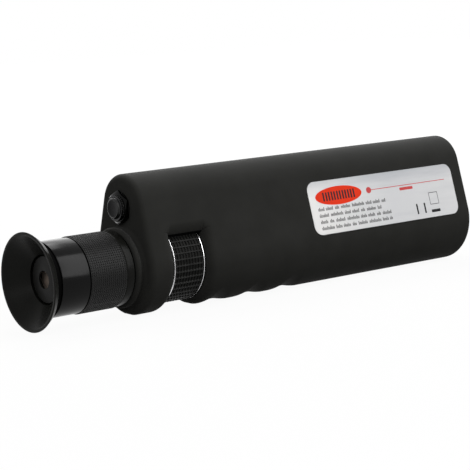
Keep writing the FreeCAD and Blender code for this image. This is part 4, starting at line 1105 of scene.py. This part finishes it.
def make_label():
    """The foil plate and the fields printed on it, some of them over others."""
    corners = round_rect(0, LABEL_LENGTH, LABEL_LOW, LABEL_HIGH, LABEL_ROUND)
    plate = flat_plates([corners], 0, LABEL_THICK, LABEL_CHAMFER)
    add_piece("label_foil_plate", plate, [LABEL_FOIL], ["label_plate"])
    fields = {
        "label_oval": ([ellipse(OVAL_MIDDLE, OVAL_HALF, OVAL_CORNERS)], PRINT_ORANGE, 0),
        "label_oval_bars": (oval_bars(), PRINT_BLACK, 1),
        "label_dot": ([ellipse(DOT_MIDDLE, DOT_HALF, DOT_CORNERS)], PRINT_RED, 0),
        "label_rule": ([bar(*RULE)], PRINT_RED, 0),
        "label_tab": ([bar(*TAB)], PRINT_RED, 0),
        "label_bar": ([bar(*BLOCK)], PRINT_BLACK, 0),
        "label_posts": ([bar(*post) for post in POSTS], PRINT_BLACK, 0),
        "label_box": ([bar(*side) for side in BOX_SIDES], PRINT_GREY, 0),
    }
    for row, length in enumerate(ROW_LENGTHS):
        fields["label_row_%d" % (row + 1)] = (ticked_row(row, length), PRINT_BLACK, 0)
    for name, (outlines, finish, level) in fields.items():
        low = LABEL_THICK + level * PRINT_THICK
        print_field = flat_plates(outlines, low, low + PRINT_THICK, PRINT_CHAMFER)
        add_piece(name, print_field, [finish])


# Rear end, in millimetres from the housing's rear face
ADAPTER_R = 9.2
ADAPTER_DEPTH = 0.22
ADAPTER_ROOT = ADAPTER_R - ADAPTER_DEPTH
ADAPTER_START = 4.0
ADAPTER_END = 9.6
ADAPTER_ROWS = 7
ADAPTER_TEETH = 72
ADAPTER_TOOTH = (0.3, 0.16)
ADAPTER_OUTLINE = (
    (ADAPTER_END, ADAPTER_ROOT, 0.0), (10.2, ADAPTER_R, 0.0), (11.0, 8.4, 0.25), (11.0, 2.4, 0.5),
    (10.6, 1.255, 0.2), (-2.0, 1.255, 0.1), (-2.0, 2.655, 0.1), (8.2, 2.655, 0.0), (8.2, 8.05, 0.0),
    (2.6, 8.05, 0.1), (2.6, ADAPTER_R, 0.2), (ADAPTER_START, ADAPTER_ROOT, 0.0),
)
CAP_BEVEL = 0.15
REAR_BEVEL = 0.2
COIN_SLOT_EDGE = 0.2
COIN_SLOT_FLOOR = 1.1
COIN_SLOT_HALF = 0.98
COIN_SLOT_END = 0.4
CROSS_REACH = 1.15
CROSS_HALF = 0.27
CROSS_SINK = 0.3
CROSS_PROUD = 0.01
CROSS_TURNS = (20, 65, 10, 40)


def cross_outline(middle, turn):
    """Corners of a cross in the rear face's plane."""
    corners = []
    for arm in range(4):
        angle = math.radians(turn + 90 * arm)
        along = Vector((math.cos(angle), math.sin(angle)))
        aside = Vector((-along.y, along.x)) * CROSS_HALF
        tip = along * CROSS_REACH
        corners += [tip - aside, tip + aside, along * CROSS_HALF + aside]
    return [middle + corner * MM for corner in corners]


def make_screw_crosses():
    """A dark cross set into each of the cover's screws and a hair proud of it, painted shade that stands in
    for a cross recess.
    """
    _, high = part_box("rear_cover_screws")
    vertices = frame["nodes"]["rear_cover_screws"].data.vertices
    rim = [vertex.co for vertex in vertices if vertex.co.x > high.x - CROSS_PROUD * MM]
    heads = {}
    for point in rim:
        heads.setdefault((point.y > 0, point.z > AXIS_Z), []).append(Vector((point.y, point.z)))
    bm = bmesh.new()
    for points, turn in zip(heads.values(), CROSS_TURNS):
        outline = cross_outline(sum(points, Vector((0, 0))) / len(points), turn)
        levels = (high.x - CROSS_SINK * MM, high.x + CROSS_PROUD * MM)
        add_prism(bm, *([(x, *corner) for corner in outline] for x in levels))
    add_piece("screw_crosses", bm, [PAINTED_SHADE_BLACK])


def make_rear():
    """The knurled adapter, the battery cap with its coin slot, the cover and the ring nut."""
    along = teeth_profile(ADAPTER_START, ADAPTER_END, ADAPTER_ROWS, *ADAPTER_TOOTH)
    around = teeth_profile(0.0, 2 * math.pi, ADAPTER_TEETH, *ADAPTER_TOOTH)
    adapter = knurled_ring(from_rear, along, around, ADAPTER_R, ADAPTER_DEPTH, rounded(ADAPTER_OUTLINE))
    add_piece("adapter_knurl", adapter, [CHROME], ["ferrule_adapter"])
    cap = softened("battery_cap", CAP_BEVEL)
    low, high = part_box("battery_cap")
    slot_reach = (high.y - low.y) / 2 - COIN_SLOT_END * MM
    # Painted shade in the coin slot
    paint(cap, 1, lambda p: -COIN_SLOT_FLOOR * MM < p.x - high.x < -COIN_SLOT_EDGE * MM
          and abs(p.z - CROWN_Z) < COIN_SLOT_HALF * MM and abs(p.y) < slot_reach)
    finishes = [SATIN_BLACK, PAINTED_SHADE_BLACK]
    add_piece("cap_coin_slot", cap, finishes, ["battery_cap"], "battery_cap")
    cover = softened("rear_cover", REAR_BEVEL)
    add_piece("rear_cover_plate", cover, [SATIN_BLACK], ["rear_cover"])
    nut = softened("mount_ring_nut", REAR_BEVEL)
    add_piece("mount_ring", nut, [CHROME], ["mount_ring_nut"])


# Stage: a pale floor that fades into a white surround, soft lamps and the camera
WORLD_WHITE = (1.0, 1.0, 1.0, 1.0)
STAGE_WHITE = (0.35, 0.35, 0.35, 1.0)
FLOOR_HALF = 2.0
FLOOR_FADE = (0.2, 0.9)
FLOOR_SHARE = 0.86
FLOOR_DROP = 0.02 * MM
FLOOR_GLOW = 1.1
FLOOR_ROUGHNESS = 0.9
WORLD_LIGHT = 0.32


def seen_directly(tree):
    """1 for rays that show the surround: from the camera, or by gloss or glass."""
    path = add_node(tree, "LightPath")
    seen = path.outputs["Is Camera Ray"]
    for other in ("Is Glossy Ray", "Is Transmission Ray"):
        seen = add_math(tree, "MAXIMUM", seen, path.outputs[other])
    return seen


def make_world():
    """Soft light from all round, and white where it is seen."""
    world = bpy.data.worlds.new("studio")
    world.use_nodes = True
    bpy.context.scene.world = world
    tree = world.node_tree
    strength = spread(tree, seen_directly(tree), (0.0, 1.0), WORLD_LIGHT)
    set_inputs(tree.nodes["Background"], Color=WORLD_WHITE, Strength=strength)


def make_floor():
    """A floor that takes the shadow and fades to white away from the part."""
    material, tree, shader = new_material("floor_white", Base_Color=STAGE_WHITE, Roughness=FLOOR_ROUGHNESS,
                                          Specular_IOR_Level=0.0)
    reach = add_node(tree, "VectorMath", Vector=add_node(tree, "TexCoord").outputs["Object"])
    reach.operation = "LENGTH"
    start, end = FLOOR_FADE
    fade = add_node(tree, "MapRange", Value=reach.outputs["Value"], From_Min=start, From_Max=end,
                    To_Min=FLOOR_SHARE)
    fade.interpolation_type = "SMOOTHSTEP"
    share = add_math(tree, "MULTIPLY", fade.outputs["Result"], seen_directly(tree))
    glow = add_node(tree, "Emission", Strength=FLOOR_GLOW)
    mix = add_node(tree, "MixShader", Fac=share)
    tree.links.new(shader.outputs["BSDF"], mix.inputs[1])
    tree.links.new(glow.outputs["Emission"], mix.inputs[2])
    set_inputs(tree.nodes["Material Output"], Surface=mix.outputs["Shader"])
    bm = bmesh.new()
    bmesh.ops.create_grid(bm, x_segments=1, y_segments=1, size=FLOOR_HALF)
    floor = add_mesh("floor", bm, [material])
    floor.location.z = -FLOOR_DROP


LAMP_DISTANCE = 1.3
# Each lamp's direction from the part, the direction that it is long in, its width, length and power
LAMPS = {
    "strip_front": ((0.495, -0.66, 0.567), (0.0, 0.652, 0.758), 0.42, 1.42, 9.6),
    "softbox_back": ((0.2, 0.48, 0.85), (1.0, 0.0, 0.0), 0.7, 0.7, 6.4),
    "softbox_rear": ((0.5, 0.75, 0.42), (0.0, 0.0, 1.0), 1.0, 1.0, 4.0),
    "softbox_left": ((-0.75, -0.5, 0.55), (0.0, 0.0, 1.0), 0.9, 0.9, 3.9),
}


def make_lamps(aim):
    """Rectangular lamps that all face the same place."""
    for name, (direction, along, width, length, power) in LAMPS.items():
        lamp = bpy.data.lights.new(name, "AREA")
        lamp.shape = "RECTANGLE"
        lamp.size = width
        lamp.size_y = length
        lamp.energy = power
        holder = add_object(name, lamp)
        out = Vector(direction).normalized()
        side = Vector(along).cross(out).normalized()
        holder.location = aim + out * LAMP_DISTANCE
        holder.rotation_euler = Matrix((side, out.cross(side), out)).transposed().to_euler()


# The camera stands where the photograph's outline puts it
IMAGE_WIDTH = 470
SENSOR_WIDTH = 36.0
CLIP_START = 0.01
FOCAL_PIXELS = 1652.0
CAMERA_AZIMUTH = math.radians(-38.502)
CAMERA_ELEVATION = math.radians(8.715)
CAMERA_ROLL = math.radians(-2.125)
CAMERA_DISTANCE = 701.54 * MM
CAMERA_AIM = Vector((from_front(58.2), 0, AXIS_Z + 5.77 * MM))


def make_camera():
    """A camera whose focal length is given in the photograph's pixels."""
    out = Vector((
        math.sin(CAMERA_AZIMUTH) * math.cos(CAMERA_ELEVATION),
        -math.cos(CAMERA_AZIMUTH) * math.cos(CAMERA_ELEVATION),
        math.sin(CAMERA_ELEVATION),
    ))
    lens = bpy.data.cameras.new("camera")
    lens.sensor_width = SENSOR_WIDTH
    lens.lens = SENSOR_WIDTH * FOCAL_PIXELS / IMAGE_WIDTH
    lens.clip_start = CLIP_START
    camera = add_object("camera", lens)
    camera.location = CAMERA_AIM + out * CAMERA_DISTANCE
    camera.rotation_euler = out.to_track_quat("Z", "Y").to_euler()
    camera.rotation_euler.rotate_axis("Z", CAMERA_ROLL)
    bpy.context.scene.camera = camera


make_housing()
make_eyepiece()
make_grip()
make_wheel()
make_switch()
make_label()
make_rear()
make_screw_crosses()
make_world()
make_floor()
make_lamps(CAMERA_AIM)
make_camera()
bpy.context.scene.view_settings.view_transform = "Standard"
